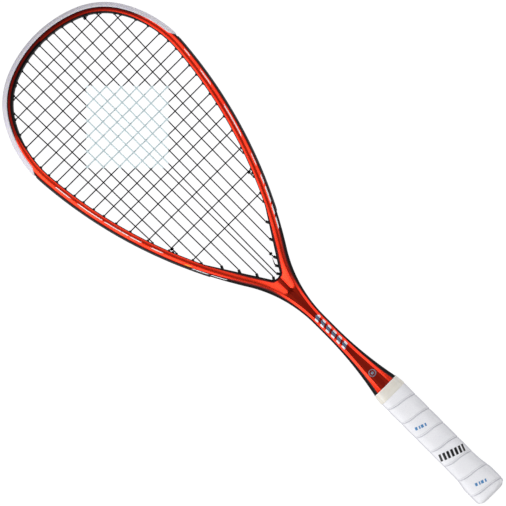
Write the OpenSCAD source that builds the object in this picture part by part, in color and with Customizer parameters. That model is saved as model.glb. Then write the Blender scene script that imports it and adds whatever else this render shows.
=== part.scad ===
// Squash racket: a moulded carbon frame with a teardrop head, 14 by 18 strings in plastic
// grommets, a bumper over the crown, a butt cap and a spirally wound grip.
// X runs across the head, Y from the butt to the tip and Z square to the strings.

/* [Frame] */
// Overall length from the butt to the tip of the bumper
total_len = 686; // [660:1:720]
// Radius of the frame's outer edge at the crown
crown_r = 131; // [112:1:150]
// Radius of the outer edge at the shoulders
shoulder_r = 80; // [67:1:96]
// Radius of the outer edge at the sides
side_r = 124; // [103:1:149]
// Radius of the hollow curve from a leg into the neck
throat_r = 146; // [122:1:174]
// Half of the crown's turn, in degrees
crown_turn = 22; // [19:0.5:25]
// Turn of each shoulder, in degrees
shoulder_turn = 36.5; // [33:0.5:40]
// Turn of each side, in degrees
side_turn = 36; // [32:0.5:39]
// Turn of each leg, in degrees
leg_turn = 27.5; // [25:0.5:30]
// Width of the hoop's tube in the plane of the strings
tube_w = 10.2; // [9:0.1:12.2]
// Depth of the hoop's tube, square to the strings
tube_d = 19; // [16:0.5:23]
// Carbon wall of the tube and the shaft
wall = 1.4; // [1.1:0.1:1.7]

/* [Shaft] */
// Width of the neck, the narrowest part of the shaft
neck_w = 13.8; // [11.5:0.1:16.5]
// Straight stretch of the shaft below the throat
neck_len = 17; // [14:1:21]
// Width of the shaft where it carries the grip
core_w = 30.4; // [26:0.2:36]
// Depth of the shaft where it carries the grip
core_d = 23.8; // [20:0.2:28]
// Radius of the throat's rounded bottom between the legs
yoke_r = 7; // [6:0.5:8.4]
// Height of the throat's bottom above the neck
yoke_rise = 62; // [56:1:68]
// How far the yoke's faces lie below the faces of the legs
yoke_sink = 1; // [0.5:0.1:1.5]

/* [Handle] */
// Length of the grip, from the butt to the collar
grip_len = 151; // [126:1:170]
// Width of the collar tape
collar_len = 10.5; // [8:0.5:13]
// Thickness of the grip as it is wound
grip_t = 1.4; // [1:0.1:1.8]
// Thickness of the collar tape
collar_t = 0.5; // [0.3:0.1:0.8]
// How far the butt flares out on each side
flare = 2.2; // [1.8:0.1:3]
// Length of the butt cap
cap_len = 38; // [32:1:46]
// Thickness of the butt cap's floor
cap_floor = 2.5; // [2:0.1:3]

/* [Strings] */
// Diameter of the string
string_d = 1.25; // [1.05:0.05:1.35]
// Space between the last main and the inside of the hoop
side_space = 20; // [17:1:24]
// Space between the first cross and the inside of the crown
top_space = 21; // [18:1:25]
// Space between the last cross and the throat's bottom
low_space = 79; // [66:1:90]

/* [Guards] */
// Width of the groove that the outer string loops lie in
groove_w = 4.3; // [4.2:0.1:5]
// Plastic beside and under the groove
strip_t = 0.75; // [0.6:0.05:0.9]
// How far the bumper stands proud of the frame
bumper_proud = 1; // [0.8:0.1:1.3]
// How far the bumper reaches in over the faces
bumper_lip = 4.2; // [3.5:0.1:4.6]
// How far the side strips stand proud of the frame
strip_proud = 0.5; // [0.4:0.1:0.8]
// How far the side strips reach in over the faces
strip_lip = 1.3; // [1:0.1:1.6]
// How far the bumper runs on past its last hole
bumper_tail = 2.4; // [2:0.1:3.4]
// Outer diameter of a grommet barrel
barrel_d = 3; // [2.8:0.1:3.2]
// How far a barrel stands out of the frame's inside
barrel_out = 1.2; // [1:0.1:1.5]
// How far a throat grommet stands out of the frame's inside
throat_out = 3.4; // [2.8:0.1:4]

/* [Hidden] */

paint = [0.80, 0.15, 0.07];
guard_grey = [0.80, 0.78, 0.83];
black = [0.06, 0.06, 0.07];
white = [0.93, 0.93, 0.94];

gap = 0.05;              // air between pieces that seat on each other
seam = 0.01;             // every other arc is this much thicker, so that the arcs
lap = 0.05;              // lap cleanly and fuse into one tube
root = 0.15;             // how far a barrel starts inside its strip's floor
roundness = 2.6;         // exponent of the tube's section: 2 is an ellipse
core_roundness = 2.5;    // exponent of the handle's section
string_r = string_d / 2;
barrel_r = barrel_d / 2;
bore_r = string_r + 0.2; // bore of a grommet barrel
tube_a = tube_w / 2;
tube_b = tube_d / 2;

// Depths below the frame's outer edge
loop_off = string_r + 0.1;          // middle of the outer string loops
floor_off = loop_off + string_r + gap; // top of the groove's floor
channel_off = floor_off + strip_t + gap; // bottom of the frame's channel
groove_h = groove_w / 2;
channel_h = groove_h + strip_t + gap;
lane = groove_h - string_r - gap;   // mains loop at +lane, crosses at -lane

// Turns at which the frame's arcs meet, counted from the tip
t1 = crown_turn;
t2 = t1 + shoulder_turn;
t3 = t2 + side_turn;
t4 = t3 + leg_turn;
t5 = 2 * t4 - 90; // the neck, where the throat has turned back to straight
split_turn = t4 + 2; // joint between the hoop and the throat

function facing(t) = let(h = t <= t4 ? t : 2 * t4 - t) [sin(h), cos(h)];

// The leg's radius is what makes the chain of arcs end at the neck's width
tip_y = total_len - bumper_proud - gap;
c1 = [0, tip_y - crown_r];
c2 = c1 + (crown_r - shoulder_r) * facing(t1);
c3 = c2 + (shoulder_r - side_r) * facing(t2);
throat_x = neck_w / 2 + throat_r * (1 - sin(t4));
leg_r = (c3.x + side_r * sin(t3) - throat_x) / (sin(t3) - sin(t4));
c4 = c3 + (side_r - leg_r) * facing(t3);
c5 = c4 + (leg_r + throat_r) * facing(t4);
neck_y = c5.y;

// A point on the right half of the hoop, off millimetres inside its outer edge
function rim(t, off = 0) =
    t <= t1 ? c1 + (crown_r - off) * facing(t) :
    t <= t2 ? c2 + (shoulder_r - off) * facing(t) :
    t <= t3 ? c3 + (side_r - off) * facing(t) :
    t <= t4 ? c4 + (leg_r - off) * facing(t) :
    c5 - (throat_r + off) * facing(t);
function rim_radius(t) = t <= t1 ? crown_r : t <= t2 ? shoulder_r : t <= t3 ? side_r : t <= t4 ? leg_r : throat_r;

// The same for both halves: a negative turn is on the left
function side_rim(t, off) = t < 0 ? [-rim(-t, off).x, rim(-t, off).y] : rim(t, off);

// The turn at which the hoop's inside reaches a given x (axis 0) or y (axis 1)
function seek(axis, value, lo, hi, rising, n = 26) =
    let(mid = (lo + hi) / 2)
    n == 0 ? mid :
    (rim(mid, tube_w)[axis] < value) == rising ? seek(axis, value, mid, hi, rising, n - 1) :
    seek(axis, value, lo, mid, rising, n - 1);

// Places of the strings: steps are the spacings that the pattern keeps to as the head's size changes
function total(steps, n) = n < 0 ? 0 : steps[n] + total(steps, n - 1);
function spread(steps, span) =
    [for (i = [0 : len(steps) - 1]) total(steps, i) * span / total(steps, len(steps) - 1)];

half_inside = rim(90, tube_w).x;
yoke_y = neck_y + yoke_rise;
main_top_steps = [5, 10.2, 10.6, 11.3, 12.4, 12.3, 13];
main_low_steps = [4.3, 9.7, 10.2, 10.1, 11.9, 11.5, 9.9];
main_low_share = 0.904; // the mains draw together towards the throat
cross_steps = [0, 16.3, 14.9, 13.9, 13.8, 12, 11.8, 10.8, 11.3, 12, 11.5, 12.8, 12.6, 14.6, 16.4, 19.7, 23.1, 24.7];
main_count = len(main_top_steps);
cross_count = len(cross_steps);
main_top = spread(main_top_steps, half_inside - side_space);
main_low = spread(main_low_steps, (half_inside - side_space) * main_low_share);
cross_first = tip_y - tube_w - top_space;
cross_y = [for (s = spread(cross_steps, cross_first - yoke_y - low_space)) cross_first - s];

// A hole runs halfway between the frame's normal and the string's own direction.
// It is [turn at the outside, middle at the inside, middle at the outside].
function hole_tilt(t, way) =
    let(h = t <= t4 ? t : 2 * t4 - t, lean = acos(facing(t) * way) / 2)
    lean * sign(way * [cos(h), -sin(h)]);
function hole(t, way) =
    let(shift = (tube_w - loop_off) * tan(hole_tilt(t, way)), out = t + shift / rim_radius(t) * 180 / PI)
    [out, rim(t, tube_w), rim(out, loop_off)];

bumper_crosses = 6; // crosses on each side that pass through the bumper
top_holes = [for (x = main_top) hole(seek(0, x, 0, 90, true), [0, 1])];
cross_holes = [for (y = cross_y) hole(seek(1, y, 0, t5, false), [1, 0])];
throat_mains = 4; // mains on each side that end in the yoke, each with a grommet of its own
leg_holes = [for (i = [2 : main_count - 1]) hole(seek(0, main_low[i], 90, t5, false), [0, -1])];

// The yoke's upper edge is a rounded bottom between two straight gussets
yoke_centre = yoke_y + yoke_r;
yoke_lean = t4 - 90 + 0.5; // a little more than the legs', so that the gussets run out along them
yoke_touch = [yoke_r * cos(yoke_lean), yoke_centre - yoke_r * sin(yoke_lean)];
function yoke_edge(x) =
    x < yoke_touch.x ? yoke_centre - sqrt(yoke_r ^ 2 - x ^ 2) :
    yoke_touch.y + (x - yoke_touch.x) / tan(yoke_lean);

// Holes through the yoke and the leg behind it, each to its own turn at the outside
function yoke_hole(x, exit) = [exit, [x, yoke_edge(x)], rim(exit, loop_off)];
centre_exit = t4 + 12.5;
throat_tie = yoke_hole((main_low[0] + main_low[1]) / 2, t4 + 9.5);
yoke_exits = concat([centre_exit, t4 + 6.5], [for (i = [0 : throat_mains - 3]) leg_holes[i][0]]);
yoke_holes = [for (i = [0 : throat_mains - 1]) yoke_hole(main_low[i], yoke_exits[i])];
low_holes = concat(yoke_holes, [for (i = [throat_mains - 2 : main_count - 3]) leg_holes[i]]);

// Tie-off holes lie square to the frame, beside the main that the knot is tied to
tie_shift = 4.2;
function tie_hole(t) = [t, rim(t, tube_w), rim(t, loop_off)];
function beside(hole, shift) =
    let(t = seek(1, hole[1].y, 0, t5, false)) tie_hole(t + shift / rim_radius(t) * 180 / PI);
crown_tie = beside(top_holes[4], tie_shift);
leg_tie = beside(low_holes[5], -tie_shift);

function unit(v) = v / norm(v);
function toward(hole) = unit(hole[2] - hole[1]);
function mouth(hole, out) = hole[1] - toward(hole) * out;
function out_of(i) = i < throat_mains ? throat_out : barrel_out;

bumper_end = cross_holes[bumper_crosses - 1][0] + bumper_tail / side_r * 180 / PI;
crown_barrels = [for (h = concat(top_holes, cross_holes, [crown_tie])) if (h[0] < bumper_end) h];
side_barrels = [
    for (h = concat(cross_holes, [for (i = [throat_mains : main_count - 1]) low_holes[i]], [leg_tie]))
        if (h[0] > bumper_end) h
];

// ---------------------------------------------------------------- sections and sweeps

// Superellipse quarter points between two angles, as [u, z], with half-widths a and b
function bow(angle, a, b, n) =
    [a * sign(cos(angle)) * abs(cos(angle)) ^ (2 / n), b * sign(sin(angle)) * abs(sin(angle)) ^ (2 / n)];

module tube_solid() {
    polygon([for (k = [0 : 27]) bow((k + 0.5) * 360 / 28, tube_a + $hair, tube_b + $hair, roundness)]);
}

void_edge = tube_a - channel_off - wall; // the void stops short of the channel
module tube_void() {
    thick = wall + $hair;
    points = [for (k = [0 : 19]) bow((k + 0.5) * 18, tube_a - thick, tube_b - thick, roundness)];
    polygon([for (p = points) [min(p.x, void_edge - $hair), p.y]]);
}

module tube_section(channel = true) {
    difference() {
        tube_solid();
        tube_void();
        if (channel)
            translate([tube_a - channel_off + $hair, $hair - channel_h])
                square([channel_off + 1, 2 * (channel_h - $hair)]);
    }
}

// A grommet strip's section: a channel liner whose lips wrap over the outer edge
function lip_points(off, hw, reach, n = 8) =
    let(
        a = tube_a + off, b = tube_b + off,
        from = asin((hw / b) ^ (roundness / 2)),
        to = acos(((tube_a - reach) / a) ^ (roundness / 2))
    )
    [for (k = [0 : n]) bow(from + (to - from) * k / n, a, b, roundness)];

module strip_section(proud, reach) {
    clear = gap - $hair;
    inside = lip_points(clear, channel_h - clear, reach + $hair);
    outside = lip_points(gap + proud + $hair, groove_h - $hair, reach + $hair);
    half = concat(
        [[tube_a - channel_off + clear, channel_h - clear]], inside,
        [for (k = [len(outside) - 1 : -1 : 0]) outside[k]],
        [[tube_a - floor_off + $hair, groove_h - $hair]]
    );
    polygon(concat(half, [for (k = [len(half) - 1 : -1 : 0]) [half[k].x, -half[k].y]]));
}

// Carries a section round one convex arc of the hoop, from turn a to turn b. A thick arc
// takes the neighbours that lap into it at their first or last end.
module arc(centre, r, a, b, thick = false, laps = [1, 1]) {
    $hair = thick ? seam : 0;
    over = thick ? [0, 0] : laps * lap / r * 180 / PI;
    translate(centre)
        rotate_extrude(angle = b - a + over[0] + over[1], start = 90 - b - over[1], $fn = 180)
            translate([r - tube_a, 0]) children();
}

// The same on the hollow curve of the throat, where turns run on from t4
module hollow_arc(a, b, laps = 0) {
    $hair = 0;
    over = laps * lap / throat_r * 180 / PI;
    translate(c5)
        rotate_extrude(angle = b - a + over, start = 270 - 2 * t4 + a - over, $fn = 180)
            translate([throat_r + tube_a, 0]) mirror([1, 0]) children();
}

module both_sides() {
    children();
    mirror([1, 0, 0]) children();
}

// A cylinder along a hole's line, from below the groove to past the inside
module along(hole, r, before, after) {
    way = toward(hole);
    start = hole[2] + way * before;
    length = norm(hole[2] - hole[1]) + before + after;
    translate(start) rotate([0, 0, atan2(way.y, way.x)]) rotate([0, -90, 0]) cylinder(r = r, h = length, $fn = 24);
}

// Rings of points joined into a closed skin, with flat ends
function skin_faces(rings, n) = concat(
    [for (i = [0 : rings - 2], k = [0 : n - 1]) let(m = (k + 1) % n)
        [i * n + k, i * n + m, (i + 1) * n + m, (i + 1) * n + k]],
    [[for (k = [n - 1 : -1 : 0]) k], [for (k = [0 : n - 1]) (rings - 1) * n + k]]
);

// A tube between an outer and an inner run of rings, with flat ring-shaped ends
function wall_faces(rings, n, inner) = concat(
    [for (i = [0 : rings - 2], k = [0 : n - 1]) let(m = (k + 1) % n)
        [i * n + k, i * n + m, (i + 1) * n + m, (i + 1) * n + k]],
    [for (i = [0 : rings - 2], k = [0 : n - 1]) let(m = (k + 1) % n)
        [inner + i * n + k, inner + (i + 1) * n + k, inner + (i + 1) * n + m, inner + i * n + m]],
    [for (k = [0 : n - 1]) let(m = (k + 1) % n) [m, k, inner + k, inner + m]],
    [for (k = [0 : n - 1]) let(m = (k + 1) % n, o = (rings - 1) * n) [o + k, o + m, inner + o + m, inner + o + k]]
);

// One ring of a handle piece at height y, grown by a thickness
function oval(y, size, grow, n = 28) =
    [for (k = [0 : n - 1]) let(p = bow((k + 0.5) * 360 / n, size[0] + grow, size[1] + grow, size[2])) [p.x, y, p.y]];

module sleeve(ys, sizes, outer, inner) {
    last = len(ys) - 1;
    points = concat(
        [for (i = [0 : last]) each oval(ys[i], sizes[i], outer)],
        [for (i = [0 : last]) each oval(ys[i], sizes[i], inner)]
    );
    n = len(oval(0, sizes[0], 0));
    polyhedron(points, wall_faces(len(ys), n, n * len(ys)), convexity = 6);
}

// ---------------------------------------------------------------- frame

module hoop_arcs() {
    arc(c1, crown_r, -t1, t1) children();
    both_sides() {
        arc(c2, shoulder_r, t1, t2, thick = true) children();
        arc(c3, side_r, t2, t3) children();
        arc(c4, leg_r, t3, t4, thick = true) children();
    }
}

module string_holes(holes) {
    for (h = holes) both_sides() along(h, barrel_r + gap, 1, throat_out + 1);
}

module hoop() {
    color(paint)
    difference() {
        union() {
            hoop_arcs() tube_section();
            both_sides() hollow_arc(t4, split_turn, laps = 1) tube_section();
        }
        string_holes(concat(top_holes, cross_holes, [crown_tie, leg_tie]));
        string_holes([for (h = low_holes) if (h[0] < split_turn) h]);
    }
}

channel_end = centre_exit + 1.5;
throat_holes = concat(yoke_holes, [throat_tie]); // through the yoke

module right_half(depth) {
    translate([0, neck_y - 1, -depth]) cube([tube_w * 8, throat_r, 2 * depth]);
}

module throat() {
    color(paint)
    difference() {
        both_sides() intersection() {
            union() {
                hollow_arc(split_turn, channel_end) tube_section();
                hollow_arc(channel_end, t5) tube_section(channel = false);
            }
            right_half(tube_d);
        }
        string_holes(throat_holes);
    }
}

// The yoke fills the V between the legs, and its rounded bottom closes the string bed
module throat_yoke() {
    depth = tube_d - 2 * yoke_sink;
    top_x = main_low[throat_mains - 1] + barrel_r + gap;
    top = [top_x, yoke_edge(top_x)];
    join = seek(1, top.y, 90, t5, false);
    foot = seek(0, 0.5, t4, t5, false);
    side = [for (k = [0 : 24]) rim(join + (foot - join) * k / 24, tube_w + gap)];
    color(paint)
    difference() {
        translate([0, 0, -depth / 2]) linear_extrude(depth) difference() {
            polygon(concat(
                side, [for (k = [24 : -1 : 0]) [-side[k].x, side[k].y]],
                [[-top.x, top.y], [-yoke_touch.x, yoke_touch.y], [0, yoke_centre], yoke_touch, top]
            ));
            translate([0, yoke_centre]) circle(r = yoke_r, $fn = 64);
        }
        string_holes(throat_holes);
    }
}

// Half-width, half-depth and roundness of the shaft at height y
collar_top = grip_len + collar_len;
flare_top = neck_y - neck_len;
flare_drop = flare_top - collar_top;
shaft_flare_r = (flare_drop ^ 2 + (core_w / 2 - neck_w / 2) ^ 2) / (core_w - neck_w);
function ease(s) = s <= 0 ? 0 : s >= 1 ? 1 : s * s * (3 - 2 * s);
function shaft_half(y) =
    y >= flare_top ? neck_w / 2 :
    y <= collar_top ? core_w / 2 :
    neck_w / 2 + shaft_flare_r - sqrt(shaft_flare_r ^ 2 - (flare_top - y) ^ 2);
function shaft_size(y) =
    let(s = ease((flare_top - y) / flare_drop))
    [shaft_half(y), (tube_d + (core_d - tube_d) * s) / 2, 3 + (core_roundness - 3) * s];

module shaft() {
    steps = 18;
    foot = cap_floor + gap;
    ys = concat(
        [foot, grip_len / 2],
        [for (k = [0 : steps]) collar_top + flare_drop * k / steps],
        [neck_y - gap]
    );
    color(paint) sleeve(ys, [for (y = ys) shaft_size(y)], 0, -wall);
}

// ---------------------------------------------------------------- guards and grommets

module barrels(holes, r, before, after) {
    for (h = holes) along(h, r, before, after);
}
floor_step = channel_off - gap - root - loop_off; // from the loops' middle down to the barrels' start

module bumper_guard() {
    color(guard_grey)
    difference() {
        union() {
            arc(c1, crown_r, -t1, t1) strip_section(bumper_proud, bumper_lip);
            both_sides() {
                arc(c2, shoulder_r, t1, t2, thick = true) strip_section(bumper_proud, bumper_lip);
                arc(c3, side_r, t2, bumper_end, laps = [1, 0]) strip_section(bumper_proud, bumper_lip);
                barrels(crown_barrels, barrel_r, -floor_step, barrel_out);
            }
        }
        both_sides() barrels(crown_barrels, bore_r, 1, barrel_out + 1);
    }
}

module grommet_strip() {
    strip_end = low_holes[throat_mains][0] + 1;
    color(black)
    difference() {
        union() {
            arc(c3, side_r, bumper_end + 0.15, t3, laps = [0, 1]) strip_section(strip_proud, strip_lip);
            arc(c4, leg_r, t3, strip_end, thick = true) strip_section(strip_proud, strip_lip);
            barrels(side_barrels, barrel_r, -floor_step, barrel_out);
        }
        barrels(side_barrels, bore_r, 1, barrel_out + 1);
    }
}

// A throat grommet: a sleeve through the leg, with a head that sits in the channel
module throat_grommet(hole, out) {
    head_r = 2.2;
    head_t = strip_t;
    way = facing(hole[0]);
    seat = rim(hole[0], channel_off - gap);
    color(black)
    difference() {
        union() {
            along(hole, barrel_r, -floor_step, out);
            translate(seat) rotate([0, 0, atan2(way.y, way.x)]) rotate([0, 90, 0])
                cylinder(r = head_r, h = head_t, $fn = 32);
        }
        along(hole, bore_r, 1, out + 1);
    }
}

// ---------------------------------------------------------------- strings

// Rings round a path of points, turned to halve each bend and widened there to keep the string's width
function along_path(p, i) =
    let(a = i > 0 ? unit(p[i] - p[i - 1]) : unit(p[1] - p[0]),
        b = i < len(p) - 1 ? unit(p[i + 1] - p[i]) : a, t = unit(a + b))
    [t, 1 / max(0.6, t * a)];
function path_ring(p, i, r, n) =
    let(f = along_path(p, i), across = unit(cross(f[0], [0, 0, 1])), up = cross(across, f[0]))
    [for (k = [0 : n - 1]) let(w = (k + 0.5) * 360 / n) p[i] + across * (cos(w) * r * f[1]) + up * (sin(w) * r)];

module cord(path, sides) {
    points = [for (i = [0 : len(path) - 1]) each path_ring(path, i, string_r, sides)];
    polyhedron(points, skin_faces(len(path), sides), convexity = 20);
}

function at(p, z) = [p.x, p.y, z];
function flip(p, side) = [side * p.x, p.y];
inset = 2.2; // length over which a string moves into its lane

// Points of a loop in the groove, between two signed turns
function loop_points(from, to, z, steps = 2) =
    let(way = sign(to - from),
        a = from + way * inset / rim_radius(abs(from)) * 180 / PI,
        b = to - way * inset / rim_radius(abs(to)) * 180 / PI)
    [for (k = [0 : steps]) at(side_rim(a + (b - a) * k / steps, loop_off), z)];

// One end of a main, from its mouth to the groove or back
function main_end(m, top, outwards) =
    let(side = m < main_count ? -1 : 1, i = m < main_count ? main_count - 1 - m : m - main_count,
        h = top ? top_holes[i] : low_holes[i],
        in = at(flip(mouth(h, top ? barrel_out : out_of(i)), side), 0), out = at(flip(h[2], side), 0))
    outwards ? [in, out] : [out, in];
function main_turn(m, top) =
    let(side = m < main_count ? -1 : 1, i = m < main_count ? main_count - 1 - m : m - main_count)
    side * (top ? top_holes[i] : low_holes[i])[0];
all_mains = 2 * main_count;

knot_r = string_r * 3 + gap; // outer radius of a knot's turns
function tie_path(hole, side, target, out = barrel_out) =
    let(in = flip(mouth(hole, out), side), away = unit(in - target))
    [at(target + away * (knot_r + gap), 0), at(in, 0), at(flip(hole[2], side), 0)];

function main_point(m, y) =
    let(a = main_end(m, true, false)[1], b = main_end(m, false, false)[1]) a + (b - a) * (y - a.y) / (b.y - a.y);
function on_main(m, y) = let(p = main_point(m, y)) [p.x, p.y];
knot_lift = string_d + 0.2; // from a grommet's mouth to the middle of the knot tied at it
leg_knot_lift = 5.8; // more at a leg, where the hoop closes in on the main
throat_knot_lift = 4.2; // and at the throat, where the tie passes another grommet
leg_knot_y = mouth(low_holes[5], barrel_out).y + leg_knot_lift;
crown_knot_y = mouth(top_holes[4], barrel_out).y - knot_lift;
throat_knot_y = mouth(low_holes[1], out_of(1)).y + throat_knot_lift;

main_path = concat(
    tie_path(leg_tie, -1, on_main(1, leg_knot_y)),
    loop_points(-leg_tie[0], main_turn(0, false), lane, 4),
    [for (m = [0 : all_mains - 1]) let(up = m % 2 == 0) each concat(
        main_end(m, !up, false), main_end(m, up, true),
        m == all_mains - 1 ? loop_points(main_turn(m, false), leg_tie[0], lane, 4) :
        loop_points(main_turn(m, up), main_turn(m + 1, up), lane)
    )],
    [for (k = [2 : -1 : 0]) tie_path(leg_tie, 1, on_main(all_mains - 2, leg_knot_y))[k]]
);

// Crosses pass over and under the mains; next to a mouth they need to rise a little more
rise = string_d + 0.06;
steep_rise = string_d + 0.17;
function weave(c, y, half) = [
    for (m = [0 : all_mains - 1])
        let(p = on_main(m, y), top = main_end(m, true, false)[1].y, low = main_end(m, false, false)[1].y)
        if (top > y + 1.5 && low < y - 1.5 && abs(p.x) < half - 1)
            [p.x, y, ((c + m) % 2 == 0 ? 1 : -1) * (half - abs(p.x) < 4 ? steep_rise : rise)]
];
function reversed(list) = [for (k = [len(list) - 1 : -1 : 0]) list[k]];
function cross_run(c) =
    let(h = cross_holes[c], in = mouth(h, barrel_out), run = concat(
        [at(flip(h[2], -1), 0), at(flip(in, -1), 0)], weave(c, in.y, in.x), [at(in, 0), at(h[2], 0)]))
    c % 2 == 0 ? reversed(run) : run;

cross_path = concat(
    tie_path(crown_tie, 1, on_main(all_mains - 3, crown_knot_y)),
    loop_points(crown_tie[0], cross_holes[0][0], -lane, 4),
    [for (c = [0 : cross_count - 1]) let(side = c % 2 == 0 ? -1 : 1) each concat(
        cross_run(c),
        c == cross_count - 1 ? loop_points(cross_holes[c][0], throat_tie[0], -lane, 10) :
        loop_points(side * cross_holes[c][0], side * cross_holes[c + 1][0], -lane)
    )],
    reversed(tie_path(throat_tie, 1, on_main(main_count + 1, throat_knot_y), throat_out))
);

// A knot is two turns of string drawn tight round a main
module knot(m, y) {
    translate(at(on_main(m, y), 0)) rotate([90, 0, 0]) for (lift = [-string_r, string_r])
        translate([0, 0, lift]) rotate_extrude($fn = 48) translate([string_d + gap, 0]) circle(r = string_r, $fn = 24);
}

module tie_off_knots() {
    color(black) {
        knot(1, leg_knot_y);
        knot(all_mains - 2, leg_knot_y);
        knot(all_mains - 3, crown_knot_y);
        knot(main_count + 1, throat_knot_y);
    }
}

// ---------------------------------------------------------------- handle

// The cap slides over the shaft's end; above its flare it thins to a skirt
function cap_size(y) =
    let(s = shaft_size(0), swell = flare * (1 - ease((y - 20) / (cap_len - 20))),
        tuck = 4.5 * (1 - sqrt(1 - (max(0, 6 - y) / 6) ^ 2)))
    [s[0] + swell - tuck, s[1] + swell - tuck, s[2]];
cap_ys = [0, 0.4, 1.2, 2.4, 4, 6, 12, 20, 24, 29, 34, cap_len];
skirt = 0.25; // the cap's wall at its upper end

function loft_points(ys, grow) = [for (y = ys) each oval(y, cap_size(y), grow)];

module butt_cap() {
    outer = loft_points(cap_ys, skirt);
    n = len(oval(0, cap_size(0), 0));
    socket = shaft_size(0);
    color(white)
    difference() {
        polyhedron(outer, skin_faces(len(cap_ys), n), convexity = 4);
        polyhedron(
            concat(oval(cap_floor, socket, gap), oval(cap_len + 1, socket, gap)), skin_faces(2, n)
        );
        staple_slots();
    }
}

// Two wire staples hold the cap to the shaft, one on each broad side
staple_w = 9;
staple_wire = 0.7;
staple_y = 26;
staple_sunk = 0.35; // keeps the whole staple below the cap's curved side
module staple(grow = 0) {
    wire = staple_wire + 2 * grow;
    depth = shaft_size(0)[1];
    top = cap_size(staple_y)[1] + skirt - staple_sunk;
    translate([-staple_w / 2 - wire / 2, staple_y - wire / 2, top - wire]) cube([staple_w + wire, wire, wire]);
    for (x = [-staple_w / 2, staple_w / 2])
        translate([x - wire / 2, staple_y - wire / 2, depth + gap - grow])
            cube([wire, wire, top - depth - gap + grow]);
}
module staple_slots() { for (turn = [0, 180]) rotate([0, turn, 0]) staple(gap); }
module cap_staples() { color("silver") for (turn = [0, 180]) rotate([0, turn, 0]) staple(); }

// The grip covers the cap's side and the shaft up to the collar
grip_foot = 2.4;
function grip_inner(y) = y <= cap_len ? cap_size(y) + [skirt + gap, skirt + gap, 0] : shaft_size(0) + [gap, gap, 0];
module grip_tape() {
    ys = [grip_foot, 4, 6, 12, 20, 24, 29, 34, cap_len, cap_len + 0.2, 60, 90, 120, grip_len];
    color(white) sleeve(ys, [for (y = ys) grip_inner(y)], grip_t, 0);
}

// The collar laps over the grip's end and down onto the shaft
module collar_tape() {
    lap = 8;
    s = shaft_size(0);
    ys = [grip_len - lap, grip_len + gap, grip_len + 0.6, collar_top];
    grow = [grip_t + 2 * gap, grip_t + 2 * gap, grip_t * 0.7, gap];
    sizes = [for (g = grow) [s[0] + g, s[1] + g, s[2]]];
    color(guard_grey) sleeve(ys, sizes, collar_t, 0);
}

// ---------------------------------------------------------------- nodes

module left_grommet(i) { mirror([1, 0, 0]) throat_grommet(low_holes[i - 1], out_of(i - 1)); }
module right_grommet(i) { throat_grommet(low_holes[i - 1], out_of(i - 1)); }

hoop();
throat();
throat_yoke();
shaft();
bumper_guard();
mirror([1, 0, 0]) grommet_strip();  // grommet_strip_left
grommet_strip();  // grommet_strip_right
left_grommet(1);  // throat_grommet_left_1
left_grommet(2);  // throat_grommet_left_2
left_grommet(3);  // throat_grommet_left_3
left_grommet(4);  // throat_grommet_left_4
right_grommet(1);  // throat_grommet_right_1
right_grommet(2);  // throat_grommet_right_2
right_grommet(3);  // throat_grommet_right_3
right_grommet(4);  // throat_grommet_right_4
throat_grommet(throat_tie, throat_out);  // tie_off_grommet
color(black) cord(main_path, 8);  // main_string
color(black) cord(cross_path, 6);  // cross_string
tie_off_knots();
butt_cap();
cap_staples();
grip_tape();
collar_tape();
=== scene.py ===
import math

import bmesh
import bpy
import numpy as np
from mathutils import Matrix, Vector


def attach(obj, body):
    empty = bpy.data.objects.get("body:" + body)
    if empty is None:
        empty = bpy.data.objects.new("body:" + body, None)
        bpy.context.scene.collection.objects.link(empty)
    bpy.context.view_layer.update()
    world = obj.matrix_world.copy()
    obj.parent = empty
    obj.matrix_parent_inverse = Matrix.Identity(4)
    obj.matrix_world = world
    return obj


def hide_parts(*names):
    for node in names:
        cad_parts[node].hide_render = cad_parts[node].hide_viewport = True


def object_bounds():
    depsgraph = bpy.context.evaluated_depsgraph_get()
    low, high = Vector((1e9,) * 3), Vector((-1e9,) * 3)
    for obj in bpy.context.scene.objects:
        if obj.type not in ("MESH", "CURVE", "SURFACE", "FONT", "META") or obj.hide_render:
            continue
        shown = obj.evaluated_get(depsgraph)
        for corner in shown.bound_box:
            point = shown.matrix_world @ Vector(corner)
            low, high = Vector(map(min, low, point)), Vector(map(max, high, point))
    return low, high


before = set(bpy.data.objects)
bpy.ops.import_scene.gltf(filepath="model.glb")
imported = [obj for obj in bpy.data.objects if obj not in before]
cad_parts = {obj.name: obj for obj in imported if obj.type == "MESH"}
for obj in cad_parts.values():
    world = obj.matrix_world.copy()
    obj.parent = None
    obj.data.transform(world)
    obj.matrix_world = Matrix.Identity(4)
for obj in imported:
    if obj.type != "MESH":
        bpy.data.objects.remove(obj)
cad_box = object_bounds()

# ---------------------------------------------------------------------------------------------
# Camera, floor and light. The racket lies flat on a pale floor and is seen square on from
# above, with its tip to the upper left. Two long softboxes stand beside it: they light the
# sloping facets of the paint, and its flat faces mirror the dimmer space overhead.
# ---------------------------------------------------------------------------------------------
MM = 0.001
VIEW_WIDTH = 535.9  # of the floor that the picture takes in, at the racket's height
VIEW_DISTANCE = 3000.0
VIEW_CENTRE = (0.1, 359.5)  # a little above the racket's middle, along its axis
VIEW_ROLL = 45.1  # from the racket's axis to the picture's upright
SENSOR = 36.0
CLIP_END = 50.0  # metres


def linear(code):
    """The linear RGBA of an sRGB hex colour: each channel undoes the sRGB curve."""
    channels = [int(code[i : i + 2], 16) / 255 for i in (1, 3, 5)]
    return tuple(c / 12.92 if c <= 0.04045 else ((c + 0.055) / 1.055) ** 2.4 for c in channels) + (1.0,)


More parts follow.
